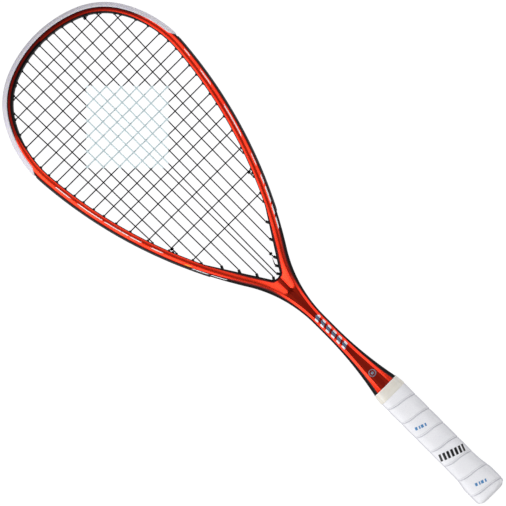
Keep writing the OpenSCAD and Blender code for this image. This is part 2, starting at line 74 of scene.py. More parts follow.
def node(tree, kind, inputs=None, **settings):
    """Adds a shader node, or takes one that is there, and feeds its inputs: each gets a value, an
    sRGB hex colour, a socket, or another node, whose first socket in use feeds it."""
    fed = kind if isinstance(kind, bpy.types.Node) else tree.nodes.new("ShaderNode" + kind)
    for key, value in settings.items():
        setattr(fed, key, value)
    for socket, value in (inputs or {}).items():
        if isinstance(value, bpy.types.Node):
            value = next(output for output in value.outputs if output.enabled)
        if isinstance(value, bpy.types.NodeSocket):
            tree.links.new(value, fed.inputs[socket])
        else:
            fed.inputs[socket].default_value = linear(value) if isinstance(value, str) else value
    return fed


scene = bpy.context.scene
roll = math.radians(VIEW_ROLL)
right = (math.sin(roll), -math.cos(roll), 0.0)
up = (math.cos(roll), math.sin(roll), 0.0)
camera_data = bpy.data.cameras.new("camera")
camera_data.sensor_width = SENSOR
camera_data.lens = SENSOR * VIEW_DISTANCE / VIEW_WIDTH
camera_data.clip_end = CLIP_END
camera = bpy.data.objects.new("camera", camera_data)
scene.collection.objects.link(camera)
camera.matrix_world = (
    (right[0], up[0], 0.0, VIEW_CENTRE[0] * MM),
    (right[1], up[1], 0.0, VIEW_CENTRE[1] * MM),
    (0.0, 0.0, 1.0, VIEW_DISTANCE * MM),
    (0.0, 0.0, 0.0, 1.0),
)
camera.matrix_world.transpose()
scene.camera = camera
scene.view_settings.view_transform = "Standard"

FLOOR_SIZE, FLOOR_DROP = 12.0, 0.0004  # metres: its side, and how far it lies below the racket
FLOOR_COLOUR, FLOOR_DYE = "#FAFAFB", "#5A5A5C"
FLOOR_SEEN, FLOOR_GLOW = 1.0, 0.42  # as the paper shows, and as it lights the racket from below
floor_mesh = bpy.data.meshes.new("floor")
half_floor = FLOOR_SIZE / 2
floor_z = cad_box[0].z - FLOOR_DROP
floor_mesh.from_pydata(
    [(x * half_floor, y * half_floor, floor_z) for x, y in ((-1, -1), (1, -1), (1, 1), (-1, 1))],
    [], [(0, 1, 2, 3)],
)
floor = bpy.data.objects.new("floor", floor_mesh)
scene.collection.objects.link(floor)
floor_paper = bpy.data.materials.new("studio_paper_matt")
floor_paper.use_nodes = True
tree = floor_paper.node_tree
seen = node(tree, "LightPath").outputs["Is Camera Ray"]
glow = node(tree, "MapRange", {0: seen, 3: FLOOR_GLOW, 4: FLOOR_SEEN})
node(tree, tree.nodes["Principled BSDF"], {"Base Color": FLOOR_DYE, "Roughness": 0.9,
                                           "Emission Color": FLOOR_COLOUR, "Emission Strength": glow})
floor_mesh.materials.append(floor_paper)

# The studio is dim overhead and beyond both ends of the racket, and brighter to its sides
SKY_TOP, SKY_ENDS, SKY_SIDE, BACKDROP = "#98989A", "#2C2C2E", "#F2F2F3", "#F4F4F5"
SKY_STRENGTH = 0.75
world = bpy.data.worlds.new("studio")
world.use_nodes = True
scene.world = world
tree = world.node_tree
toward = node(tree, "SeparateXYZ", {0: node(tree, "TexCoord").outputs["Generated"]}).outputs
overhead = node(tree, "MapRange", {0: toward["Z"], 1: 0.6, 2: 0.93})
sideways = node(tree, "Math", {0: toward["X"]}, operation="ABSOLUTE")
beside = node(tree, "MapRange", {0: sideways, 1: 0.35, 2: 0.85})
ends = node(tree, "Mix", {"Factor": overhead, "A": SKY_ENDS, "B": SKY_TOP}, data_type="RGBA")
tint = node(tree, "Mix", {"Factor": beside, "A": ends, "B": SKY_SIDE}, data_type="RGBA")
seen = node(tree, "LightPath").outputs["Is Camera Ray"]
backdrop = node(tree, "Mix", {"Factor": seen, "A": tint, "B": BACKDROP}, data_type="RGBA")
node(tree, tree.nodes["Background"], {"Color": backdrop, "Strength": SKY_STRENGTH})


def softbox(name, position, size, power):
    """An area light of size (along the racket, across), turned to face the racket's middle."""
    light = bpy.data.lights.new(name, "AREA")
    light.shape = "RECTANGLE"
    light.size, light.size_y = size
    light.energy = power
    box = bpy.data.objects.new(name, light)
    scene.collection.objects.link(box)
    away = np.array(position) - (0.0, position[1], 0.0)
    z_axis = away / np.linalg.norm(away)
    x_axis = np.array((0.0, 1.0, 0.0))
    columns = (x_axis, np.cross(z_axis, x_axis), z_axis, position)
    box.matrix_world = [(*column, w) for column, w in zip(columns, (0.0, 0.0, 0.0, 1.0))]


softbox("softbox_left", (-1.55, 0.35, 1.05), (3.2, 1.15), 39)
softbox("softbox_right", (1.55, 0.35, 1.05), (3.2, 1.05), 21)

# ---------------------------------------------------------------------------------------------
# Frame. One carbon moulding from the crown to the butt: a hoop of hollow tube, two legs that
# run together into the shaft, and a yoke between them. It is painted in a metallic red under a
# clear lacquer and airbrushed to black along its edges. A crisp ridge runs round each face.
# The paint's tone also carries painted shade over the crown, along the ridge and on the throat.
# ---------------------------------------------------------------------------------------------
TIP_Y = 684.95
CROWN_R, SHOULDER_R, SIDE_R, THROAT_R = 131.0, 80.0, 124.0, 146.0
TURNS = np.array((22.0, 58.5, 94.5, 122.0, 154.0))  # where the outline's arcs end, from the tip
TUBE_W, TUBE_HALF_D = 10.2, 9.5  # the hoop's tube
NECK_HALF, NECK_LEN = 6.9, 17.0  # the neck's half-width, and the length of its straight part
CORE_HALF_W, CORE_HALF_D = 15.2, 11.9  # the handle under its grip
COLLAR_TOP, SHAFT_FOOT = 161.5, 2.55
YOKE_R, YOKE_RISE = 7.0, 62.0  # the opening's round bottom, and its height over the neck
YOKE_LEAN = math.radians(32.5)  # of the yoke's straight sides, from upright
CHANNEL_DEPTH, CHANNEL_HALF, CHANNEL_TURN = 2.2, 2.95, 136.0  # the string channel, and its end


def facing(turn):
    """The outline's outward direction at a turn in degrees, which runs back after the legs."""
    heading = np.radians(np.where(turn <= TURNS[3], turn, 2 * TURNS[3] - turn))
    return np.stack((np.sin(heading), np.cos(heading)), -1)


# Each arc's centre lies on the line that it shares with the arc before it
turn_1, turn_2, turn_3, turn_4 = (facing(turn) for turn in TURNS[:4])
crown_c = np.array((0.0, TIP_Y - CROWN_R))
shoulder_c = crown_c + (CROWN_R - SHOULDER_R) * turn_1
side_c = shoulder_c + (SHOULDER_R - SIDE_R) * turn_2
leg_span = side_c[0] + SIDE_R * turn_3[0] - NECK_HALF - THROAT_R * (1 - turn_4[0])
LEG_R = leg_span / (turn_3[0] - turn_4[0])
leg_c = side_c + (SIDE_R - LEG_R) * turn_3
throat_c = leg_c + (LEG_R + THROAT_R) * turn_4
NECK_Y = throat_c[1]
FLARE_TOP = NECK_Y - NECK_LEN
YOKE_Y = NECK_Y + YOKE_RISE
RADII = np.array((CROWN_R, SHOULDER_R, SIDE_R, LEG_R, THROAT_R))
CENTRES = np.array((crown_c, shoulder_c, side_c, leg_c, throat_c))


def radius_at(turn):
    """Radius of the outline's arc at a turn."""
    return RADII[np.searchsorted(TURNS[:4], turn)]


def rim(turn, off):
    """Points off millimetres inside the outer edge: centre + (radius - off) * outward direction,
    with the throat's arc curving the other way."""
    turn, off = np.broadcast_arrays(np.asarray(turn, float), off)
    arc = np.searchsorted(TURNS[:4], turn)
    radius = (RADII * (1, 1, 1, 1, -1))[arc] - off
    return CENTRES[arc] + radius[..., None] * facing(turn)


def ease(s):
    """Smooth step: 3 s^2 - 2 s^3 between 0 and 1."""
    s = np.clip(s, 0, 1)
    return s * s * (3 - 2 * s)


def arc_turns(first, last, step):
    """Turns about step millimetres apart along the outline, with one on each of its joints."""
    joints = np.array([first] + [t for t in TURNS if first < t < last] + [last])
    runs = []
    for a, b in zip(joints[:-1], joints[1:]):
        length = math.radians(b - a) * radius_at((a + b) / 2)
        runs.append(np.linspace(a, b, max(2, round(length / step) + 1))[:-1])
    return np.append(np.concatenate(runs), last)


flare_run, flare_rise = FLARE_TOP - COLLAR_TOP, CORE_HALF_W - NECK_HALF
SHAFT_FLARE_R = (flare_run**2 + flare_rise**2) / (2 * flare_rise)


def shaft_half(y):
    """Half-width of the shaft: the neck, then one arc out to the handle."""
    drop = np.clip(FLARE_TOP - y, 0, flare_run)
    return NECK_HALF + SHAFT_FLARE_R - np.sqrt(SHAFT_FLARE_R**2 - drop**2)


TUCK_Y, TUCK_RUN, TUCK_SHARE = 186, 22, 0.055  # where it starts, its length down and its depth


def half_depth(y):
    """Half-depth of the frame at height y. It tucks in a little where the collar covers it."""
    grown = TUBE_HALF_D + (CORE_HALF_D - TUBE_HALF_D) * ease((FLARE_TOP - y) / flare_run)
    return grown * (1 - TUCK_SHARE * ease((TUCK_Y - y) / TUCK_RUN))


# The outer line: round the hoop, down the legs and the neck, and on under the grip
EDGE_STEP = 2.2
hoop_turns = arc_turns(0.0, TURNS[4], EDGE_STEP)
hidden_ys = (90.0, 8.0, SHAFT_FOOT + 0.5, SHAFT_FOOT)
shaft_ys = np.append(np.arange(NECK_Y - EDGE_STEP, 150, -EDGE_STEP), hidden_ys)
outer_line = np.concatenate((rim(hoop_turns, 0), np.stack((shaft_half(shaft_ys), shaft_ys), -1)))
stations = len(outer_line)
edge_y = outer_line[:, 1]
travel = np.append(0, np.cumsum(np.hypot(*np.diff(outer_line, axis=0).T)))

# The inner line: the hoop's inside, the yoke's straight gusset and round bottom, and the axis
yoke_centre = np.array((0.0, YOKE_Y + YOKE_R))
gusset_foot = yoke_centre + YOKE_R * np.array((math.cos(YOKE_LEAN), -math.sin(YOKE_LEAN)))
gusset_way = np.array((math.sin(YOKE_LEAN), math.cos(YOKE_LEAN)))
inside_turns = np.linspace(100, TURNS[3], 2201)  # down the leg, where it passes the gusset
inside = rim(inside_turns, TUBE_W)
past_gusset = np.cross(inside - gusset_foot, gusset_way) > 0
JOIN_TURN = inside_turns[np.argmax(past_gusset)]
join = rim(JOIN_TURN, TUBE_W)
BOTTOM_POINTS = 25
bottom_angles = np.linspace(-YOKE_LEAN, -math.pi / 2, BOTTOM_POINTS)
bottom = yoke_centre + YOKE_R * np.stack((np.cos(bottom_angles), np.sin(bottom_angles)), -1)
inner_path = np.concatenate(([join], bottom, [(0.0, NECK_Y)]))
inner_travel = np.append(0, np.cumsum(np.hypot(*np.diff(inner_path, axis=0).T)))
BOTTOM_FACES_Y = 309.0  # the outer edge's height across from the bottom of the opening
outer_marks = np.interp([JOIN_TURN, TURNS[4]], hoop_turns, travel[: len(hoop_turns)])
bottom_mark = np.interp(-BOTTOM_FACES_Y, -edge_y, travel)
inner_marks = inner_travel[[0, BOTTOM_POINTS, -1]]
inner_at = np.interp(travel, (outer_marks[0], bottom_mark, outer_marks[1]), inner_marks)
inner_line = np.stack([np.interp(inner_at, inner_travel, inner_path[:, axis]) for axis in (0, 1)], -1)
on_hoop = np.append(hoop_turns, np.full(len(shaft_ys), np.inf)) < JOIN_TURN
inner_line[on_hoop] = rim(hoop_turns[on_hoop[: len(hoop_turns)]], TUBE_W)
inner_line[-len(shaft_ys) :] = np.stack((0 * shaft_ys, shaft_ys), -1)
bottom_station = int(np.argmin(np.abs(travel - bottom_mark)))
inner_line[bottom_station] = bottom[-1]
inner_line[bottom_station + 1 :, 0] = 0.0

# The ridge's distance from the outer edge, the flat's width and the roundness of the side, which
# falls away from the ridge by its dip
RIDGE_YS = (161.5, 168, 180, 195, 210, 225, 240, 262, 270, 285, 300, 320, 350, 400)
RIDGE_FLAT = (5.8, 5.6, 5.0, 4.0, 2.9, 2.3, 2.2, 2.3)  # half of the flat along the shaft
RIDGE_OFF = (4.7, 5.5, 6.3, 6.9, 7.0, 7.2)  # and the ridge's depth from there on
ROUNDER_YS = (262, 330)  # the side is squarer and falls further below these heights
down_shaft = shaft_half(np.array(RIDGE_YS[:8])) - RIDGE_FLAT
ridge_off = np.interp(edge_y, RIDGE_YS, np.append(down_shaft, RIDGE_OFF))
ridge_off[edge_y > RIDGE_YS[-1]] = RIDGE_OFF[-1]
width = np.hypot(*(inner_line - outer_line).T)
ridge_off = np.minimum(ridge_off, width - 0.3)
along = (inner_line - outer_line) / width[:, None]
depth = half_depth(edge_y)
side_power = np.interp(edge_y, ROUNDER_YS, (3.0, 2.3))
side_dip = np.interp(edge_y, ROUNDER_YS, (0.34, 0.12))


def side_curve(angle, power, dip):
    """The side from the ridge (0) to the outer edge (90 degrees), as shares of the ridge's
    distance and of the half-depth: a superellipse, lowered by dip * u * (1 - u)."""
    u = np.sin(angle) ** (2 / power)
    h = np.abs(np.cos(angle)) ** (2 / power)
    return u, h - dip * u * (1 - u)


# Rows of the side, from the channel's middle up to the ridge
SIDE_ROWS, SIDE_START = 18, 81.5  # the lowest row's angle in degrees, where the ridge has 0
on_turns = travel[: len(hoop_turns)]
side_angles = np.linspace(math.radians(SIDE_START), 0, SIDE_ROWS)[None, :]
side_u, side_h = side_curve(side_angles, side_power[:, None], side_dip[:, None])
side_off = ridge_off[:, None] * (1 - side_u)
side_z = depth[:, None] * side_h
channel = CHANNEL_DEPTH * ease((np.interp(CHANNEL_TURN, hoop_turns, on_turns) - travel) / 4)
lip_off, lip_z = side_off[:, :1], np.minimum(side_z[:, :1], CHANNEL_HALF)
floor_off = np.maximum(channel[:, None], lip_off * 0.4)
side_off = np.concatenate((floor_off, floor_off, lip_off * 0.75, side_off), 1)
side_z = np.concatenate((0 * lip_z, lip_z * 0.97, lip_z, side_z), 1)

# Rows of the face inside the ridge. On the hoop and the legs it slopes down to the opening's
# rounded edge; between the legs the two slopes meet a flat floor, which runs out at the neck.
SLOPE, STEEPENING = 0.33, 0.018
FLOOR_HALF, EDGE_ROUND = 2.2, 1.2
FLAT_BELOW, FLAT_RUN = 300.5, 5  # the height where the slopes have run out to the neck's flat face
pad = np.interp(inner_line[:, 1], (320, 345, 420), (2.3, 2.3, 1.3))
below = np.arange(stations) > bottom_station
to_floor = np.where(below, FLOOR_HALF / np.maximum(np.abs(along[:, 0]), 0.3), pad)
to_floor = np.minimum(to_floor, (width - ridge_off) * 0.6)[:, None]
slope_run = (width - ridge_off)[:, None] - to_floor
slope_rows = np.linspace(0, 1, 9)[None, 1:]
floor_rows = np.array((0.2, 0.4, 0.58, 0.72, 0.84, 0.93, 0.98, 1.0))[None, :]
face_d = np.concatenate((slope_run * slope_rows, slope_run + to_floor * floor_rows), 1)
face_off = ridge_off[:, None] + face_d
face_xy = outer_line[:, None] + along[:, None] * face_off[..., None]
keep_on = np.where(below, 0, ease((inner_line[:, 1] - YOKE_Y) / 12))[:, None]
fall = np.minimum(face_d, slope_run) + keep_on * np.maximum(face_d - slope_run, 0)
fall = (SLOPE * fall + STEEPENING * fall**2) * ease((face_xy[..., 1] - FLAT_BELOW) / FLAT_RUN)
from_arc = np.hypot(face_xy[..., 0], face_xy[..., 1] - yoke_centre[1]) - YOKE_R
from_edge = np.where(below[:, None], from_arc, width[:, None] - face_off)
inset = np.clip(EDGE_ROUND - from_edge, 0, EDGE_ROUND)
face_z = depth[:, None] - fall - (EDGE_ROUND - np.sqrt(EDGE_ROUND**2 - inset**2))

# The paint's tone: 0 is black, 0.5 a deep red and 1 the full bright red. It carries the
# airbrushed black and painted shade together. The black covers the outer edge, and is wider by
# the collar and soft by the throat, where its fade to red is partly airbrush and partly painted
# shade. A darker line of painted shade runs along the ridge's crease. The throat's facets carry a
# painted highlight between painted shade. The crown is darkened with painted shade, blackest
# there, with a wide inner edge of painted shade.
FADE_YS = (161.5, 175, 220, 262, 285, 300, 315, 350, 400)
BLACK_TO = (3.1, 2.8, 1.5, 1.3, 1.2, 1.6, 2.2, 1.9, 1.4)  # depth of the black below the edge
FADE_OVER = (2.0, 1.9, 1.2, 1.3, 1.9, 3.0, 4.6, 4.0, 1.4)  # and what it takes to turn red
# Painted shade over the crown, which faces the dim ends of the studio: its outer black reaches further in
# and its red is dimmed.
CROWN_FROM, CROWN_RUN, CROWN_SHADE_BLACK, CROWN_SHADE = 600, 35, 5.0, 0.25
THROAT_FROM, THROAT_RUN = 400, 60
# Painted shade in the ridge's crease: a darker line along it on both sides.
RIDGE_CREASE_SHADE = 0.3  # how much darker the line along the ridge is
# Painted shade and a painted dark reflection on the crown's inner edge: its black is wider, most on the
# left.
RIGHT_INNER_SHADE, LEFT_INNER_SHADE = 0.5, 1.8  # more black on the crown's inner edge, each side
# The black along the outer edge is airbrush; its fade to red is partly airbrush and partly painted shade.
black_to, fade_over = [np.interp(edge_y, FADE_YS, values)[:, None] for values in (BLACK_TO, FADE_OVER)]
on_crown = ease((edge_y - CROWN_FROM) / CROWN_RUN)[:, None]
black_to = black_to + (CROWN_SHADE_BLACK - black_to) * on_crown
edge_way = np.gradient(outer_line, axis=0)
edge_way /= np.linalg.norm(edge_way, axis=-1, keepdims=True)
square_on = np.abs(np.cross(along, edge_way))[:, None]  # turns a length along a row into a depth
side_red = ease((side_off * square_on - black_to) / fade_over)
side_red *= 1 - RIDGE_CREASE_SHADE * np.exp(-(((ridge_off[:, None] - side_off) / 0.7) ** 2)) - CROWN_SHADE * on_crown
# By the throat the inner edge's black and its fade are partly airbrush and partly painted shade.
near_throat = (ease((THROAT_FROM - inner_line[:, 1]) / THROAT_RUN) * ~below)[:, None]
inner_black, inner_fade = 0.4 + 0.4 * near_throat, 0.6 + 2.6 * near_throat
slope_share = np.clip(face_d / np.maximum(slope_run, 0.1), 0, 1)
# Painted highlight and shade on the throat's facets: brightest mid-slope, darker towards the ridge and over
# the flat between the legs.
facet_shade = 0.28 * below[:, None] * (2 * slope_share - 1) ** 2
across_slope = 1 - RIDGE_CREASE_SHADE * np.exp(-((face_d / 0.8) ** 2)) - facet_shade


def face_tone(extra_shade):
    """Tone of the face, with its black inner edge on the crown widened by so many millimetres of painted
    shade.
    """
    red = ease((from_edge - inner_black - extra_shade * on_crown) / inner_fade)
    return red ** (1 + near_throat) * across_slope


side_xy = outer_line[:, None] + along[:, None] * side_off[..., None]

# The opening's wall goes straight down from the face's edge
wall_share = np.array((0.75, 0.5, 0.25, 0.0))[None, :]
wall_z = face_z[: bottom_station + 1, -1:] * wall_share
wall_xy = np.repeat(inner_line[: bottom_station + 1, None], 4, 1)


def grid_faces(rows, columns, first=0):
    """Quads of a grid of points that are stored row by row, as an array of four indices."""
    i, k = np.meshgrid(np.arange(rows - 1), np.arange(columns - 1), indexing="ij")
    corner = (first + i * columns + k).reshape(-1, 1)
    return corner + np.array((0, 1, columns + 1, columns))


def solid_points(xy, z):
    """Points from their places in the plane and their heights."""
    return np.concatenate((xy, z[..., None]), -1)


def make_piece(name, points, faces, material, slot, replaced=(), weld=0.0, tone=None, sharp=None):
    """A mesh in millimetres that rides on the part: doubles closer than weld are merged and its
    normals turned outwards. Edges bent by more than sharp degrees stay crisp, and tone is a value
    at each point that its material reads."""
    mesh = bpy.data.meshes.new(name)
    points = np.reshape(points, (-1, 3)) * MM
    mesh.from_pydata(points.tolist(), [], [tuple(f) for f in faces])
    if tone is not None:
        values = mesh.attributes.new("tone", "FLOAT", "POINT").data
        values.foreach_set("value", tone.ravel().astype(np.float32))
    if weld:
        shape = bmesh.new()
        shape.from_mesh(mesh)
        bmesh.ops.remove_doubles(shape, verts=shape.verts, dist=weld * MM)
        bmesh.ops.dissolve_degenerate(shape, edges=shape.edges, dist=weld * MM * 0.1)
        bmesh.ops.recalc_face_normals(shape, faces=shape.faces)
        shape.to_mesh(mesh)
        shape.free()
    mesh.polygons.foreach_set("use_smooth", np.ones(len(mesh.polygons), bool))
    if sharp:
        mesh.set_sharp_from_angle(angle=math.radians(sharp))
    mesh.materials.append(material)
    piece = bpy.data.objects.new(name, mesh)
    scene.collection.objects.link(piece)
    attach(piece, "root")
    if replaced:
        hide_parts(*replaced)
    return piece


def new_material(name, **settings):
    """A Principled material with its plain settings on the shader's own sockets: the material,
    its tree, its shader and the place on the object that its patterns read."""
    material = bpy.data.materials.new(name)
    material.use_nodes = True
    tree = material.node_tree
    settings = {key.replace("_", " "): value for key, value in settings.items()}
    shader = node(tree, tree.nodes["Principled BSDF"], settings)
    return material, tree, shader, node(tree, "TexCoord").outputs["Object"]


# Metallic red base coat under clear lacquer: aluminium flakes in tinted lacquer mirror the
# light in red, so slopes that face a light turn orange and flat faces go maroon. The black is
# airbrushed on before the lacquer. The flakes are drawn at 0.25 mm, far coarser than real ones.
RED_PAINT, RED_SHADE, RED_DEEP, EDGE_BLACK = "#E4371C", "#D42C16", "#7A1410", "#040304"
FLAKE = 0.25
lacquer, tree, shader, place = new_material("lacquered_metallic_paint", Coat_Weight=0.1,
                                            Coat_Roughness=0.06, Specular_IOR_Level=0.1)
flakes = node(tree, "TexVoronoi", {"Vector": place, "Scale": 1 / (FLAKE * MM)}).outputs["Color"]
cloud = node(tree, "TexNoise", {"Vector": place, "Scale": 45.0, "Detail": 3.0})
flake_tone = node(tree, "SeparateXYZ", {0: flakes})
red_mix = node(tree, "MapRange", {0: cloud, 1: 0.35, 2: 0.65})
red = node(tree, "Mix", {"Factor": red_mix, "A": RED_PAINT, "B": RED_SHADE}, data_type="RGBA")
deeper = node(tree, "MapRange", {0: flake_tone, 3: 0.0, 4: 0.16})
flaked = node(tree, "Mix", {"Factor": deeper, "A": red, "B": RED_DEEP}, data_type="RGBA")
# The tone attribute carries the airbrushed black together with painted shade and painted highlight.
amount = node(tree, "Attribute", attribute_name="tone").outputs["Fac"]
lifted = node(tree, "MapRange", {0: amount, 1: 0.0, 2: 0.5})
deep = node(tree, "Mix", {"Factor": lifted, "A": EDGE_BLACK, "B": RED_DEEP}, data_type="RGBA")
full = node(tree, "MapRange", {0: amount, 1: 0.5, 2: 0.95})
painted = node(tree, "Mix", {"Factor": full, "A": deep, "B": flaked}, data_type="RGBA")
metal = node(tree, "MapRange", {0: amount, 2: 0.4, 3: 0.1, 4: 0.95})
red_rough = node(tree, "MapRange", {0: flake_tone, 3: 0.26, 4: 0.32})
rough = node(tree, "Mix", {"Factor": amount, "A": 0.65, "B": red_rough})
node(tree, shader, {"Base Color": painted, "Metallic": metal, "Roughness": rough})

# One quarter of the skin, then its three mirror images
side_points, face_points = solid_points(side_xy, side_z), solid_points(face_xy, face_z)
main_grid = np.concatenate((side_points, face_points), 1)
main_grid[-1] = (0.0, SHAFT_FOOT, 0.0)
wall_grid = np.concatenate((face_points[: bottom_station + 1, -1:], solid_points(wall_xy, wall_z)), 1)
quarter = np.concatenate((main_grid.reshape(-1, 3), wall_grid.reshape(-1, 3)))
wall_tone = np.zeros(wall_grid[..., 0].size)
tones = [np.concatenate((np.concatenate((side_red, face_tone(extra)), 1).ravel(), wall_tone))
         for extra in (RIGHT_INNER_SHADE, LEFT_INNER_SHADE)]
wall_faces = grid_faces(*wall_grid.shape[:2], first=main_grid[..., 0].size)
quarter_faces = np.concatenate((grid_faces(*main_grid.shape[:2]), wall_faces))
flips = np.array(((1, 1, 1), (-1, 1, 1), (1, 1, -1), (-1, 1, -1)))
skin_points = np.concatenate([quarter * flip for flip in flips])
skin_faces = np.concatenate([quarter_faces + k * len(quarter) for k in range(4)])
make_piece("frame_skin", skin_points, skin_faces, lacquer, "frame_paint", weld=0.004, sharp=13,
           replaced=("hoop", "throat", "throat_yoke", "shaft"), tone=np.concatenate(tones * 2))

# ---------------------------------------------------------------------------------------------
# Bumper guard. A translucent nylon strip moulded with a row of barrels, pressed into the string
# channel over the crown and the shoulders. Its lips wrap over the edge and taper off at the ends.
# ---------------------------------------------------------------------------------------------
STRING_D = 1.25
GROOVE_HALF, GROOVE_FLOOR = 2.15, 1.4  # of the groove that the outer string loops lie in
LOOP_OFF = STRING_D / 2 + 0.1
LANE = 1.475  # mains loop on one side of the groove's middle, crosses on the other
BARREL_D, BARREL_BORE, BARREL_OUT = 3.0, 1.75, 1.2  # and how far one stands out of the tube
BUMPER_PROUD, BUMPER_LIP, BUMPER_TAPER = 1.0, 4.4, 11.0  # its thickness, reach and ends' length
MAIN_TOP = (5.03, 15.29, 25.95, 37.32, 49.80, 62.17, 75.25)  # where the mains leave the crown
MAIN_LOW = (4.33, 14.09, 24.35, 34.52, 46.49, 58.06, 68.03)  # and where they reach the throat
CROSS_Y = (653.75, 637.28, 622.2, 608.2, 594.2, 582.1, 570.2, 559.3, 547.9, 535.7, 524.1, 511.2,
           498.5, 483.7, 467.1, 447.2, 423.9, 398.9)
BUMPER_CROSSES, THROAT_MAINS = 6, 4
TIE_SHIFT = 4.2  # a tie-off hole lies this far beside the main that its knot is on

# Holes run halfway between the frame's normal and the string: (turn, point inside, point outside)
every_turn = np.linspace(0, TURNS[4], 6001)
hoop_inside = rim(every_turn, TUBE_W)
widest = int(np.argmax(hoop_inside[:, 0]))


def turn_at_x(x, low):
    """The turn at which the hoop's inside reaches x, above its widest point or below it."""
    part = slice(widest, None, None) if low else slice(0, widest)
    order = slice(None, None, -1) if low else slice(None)
    return float(np.interp(x, hoop_inside[part, 0][order], every_turn[part][order]))


def turn_at_y(y):
    """The turn at which the hoop's inside is at height y."""
    return float(np.interp(-y, -hoop_inside[:, 1], every_turn))


def drilled(turn, way):
    """A hole from turn on the inside that leans half as far from the normal as the string."""
    out_way = facing(np.array(turn))
    lean = math.acos(np.dot(out_way, way)) / 2
    side = np.sign(np.dot(way, (out_way[1], -out_way[0])) * (1 if turn <= TURNS[3] else -1))
    out_turn = turn + side * math.degrees((TUBE_W - LOOP_OFF) * math.tan(lean) / radius_at(turn))
    return out_turn, rim(turn, TUBE_W), rim(out_turn, LOOP_OFF)


def through_yoke(x, out_turn):
    """A hole from the yoke's upper edge at x to a turn on the outside of the leg."""
    if x < gusset_foot[0]:
        y = yoke_centre[1] - math.sqrt(YOKE_R**2 - x**2)
    else:
        y = gusset_foot[1] + (x - gusset_foot[0]) / math.tan(YOKE_LEAN)
    return out_turn, np.array((x, y)), rim(out_turn, LOOP_OFF)


def square_hole(beside, shift):
    """A tie-off hole square to the frame, shift millimetres along the outline from another."""
    turn = turn_at_y(beside[1][1])
    turn += math.degrees(shift / radius_at(turn))
    return turn, rim(turn, TUBE_W), rim(turn, LOOP_OFF)


top_holes = [drilled(turn_at_x(x, False), (0, 1)) for x in MAIN_TOP]
cross_holes = [drilled(turn_at_y(y), (1, 0)) for y in CROSS_Y]
leg_holes = [drilled(turn_at_x(x, True), (0, -1)) for x in MAIN_LOW[2:]]
yoke_turns = (TURNS[3] + 12.5, TURNS[3] + 6.5, leg_holes[0][0], leg_holes[1][0])
low_holes = [through_yoke(x, t) for x, t in zip(MAIN_LOW, yoke_turns)] + leg_holes[2:]
crown_tie = square_hole(top_holes[4], TIE_SHIFT)
leg_tie = square_hole(low_holes[5], -TIE_SHIFT)
throat_tie = through_yoke((MAIN_LOW[0] + MAIN_LOW[1]) / 2, TURNS[3] + 9.5)
BUMPER_END = cross_holes[BUMPER_CROSSES - 1][0] + math.degrees(2.4 / SIDE_R)
STRIP_END = low_holes[THROAT_MAINS][0] + 1


def strip_section(turns, proud, reach):
    """Half of a strip's section at each turn, from the groove's middle over the lip and back
    below the paint: the side's curve pushed out by proud, as far as reach into the face."""
    off = np.interp(turns, hoop_turns, ridge_off[: len(hoop_turns)])[:, None]
    power = np.interp(turns, hoop_turns, side_power[: len(hoop_turns)])[:, None]
    u, h = side_curve(np.radians(np.linspace(79, 1, 60))[None, :], power, side_dip[0])
    curve = np.stack((off * (1 - u), TUBE_HALF_D * h), -1)
    slope = np.gradient(curve, axis=1)
    normal = np.stack((-slope[..., 1], slope[..., 0]), -1) / np.hypot(*np.moveaxis(slope, -1, 0))[..., None]
    share = np.linspace(0, 1, 13)[None, :]
    start = curve[:, 0, 0][:, None]
    wanted = start + (np.maximum(reach[:, None], start + 0.1) - start) * share**1.3
    lift = proud[:, None] * np.sqrt(np.clip(1 - share**8, 0, 1)) + 0.05
    rows = []
    for at, line, way, height in zip(wanted, curve, normal, lift):
        on, out = [np.stack([np.interp(at, line[:, 0], each[:, axis]) for axis in (0, 1)], -1)
                   for each in (line, way)]
        outer = on + out * height[:, None]
        tucked = on[-1] - out[-1] * 0.25
        mouth_off = outer[0, 0] - 0.2
        wall = ((GROOVE_FLOOR, 0), (GROOVE_FLOOR, GROOVE_HALF), (mouth_off + 0.5, GROOVE_HALF),
                (mouth_off, GROOVE_HALF + 0.2), (outer[0, 0] - 0.05, CHANNEL_HALF - 0.25))
        seat = ((CHANNEL_DEPTH, CHANNEL_HALF), (CHANNEL_DEPTH, 0))
        rows.append(np.concatenate((wall, outer[1:], [tucked], seat)))
    return np.array(rows)


def swept(turns, section):
    """Carries sections given as (depth below the outer edge, z) along the outline, to its left
    side where a turn is negative."""
    ahead = np.abs(turns)
    xy = rim(ahead, 0)[:, None] - facing(ahead)[:, None] * section[..., :1]
    xy[turns < 0] *= (-1, 1)
    return solid_points(xy, section[..., 1])


def ring_faces(rows, columns, first=0):
    """Quads of rings of points, closed round each ring."""
    i, k = np.meshgrid(np.arange(rows - 1), np.arange(columns), indexing="ij")
    after = (k + 1) % columns
    low, high = i * columns, (i + 1) * columns
    cells = np.stack((low + k, low + after, high + after, high + k), -1)
    return first + cells.reshape(-1, 4)


def strip_body(turns, proud, reach):
    """The closed strip: rings of the whole section, mirrored in z, with its ends drawn to a
    point."""
    half = swept(turns, strip_section(np.abs(turns), proud, reach))
    ring = np.concatenate((half, (half * (1, 1, -1))[:, ::-1]), 1)
    ring[0], ring[-1] = ring[0].mean(0), ring[-1].mean(0)
    return ring


def along_hole(hole):
    """The direction from a hole's inner end to its outer one."""
    return (hole[2] - hole[1]) / np.linalg.norm(hole[2] - hole[1])


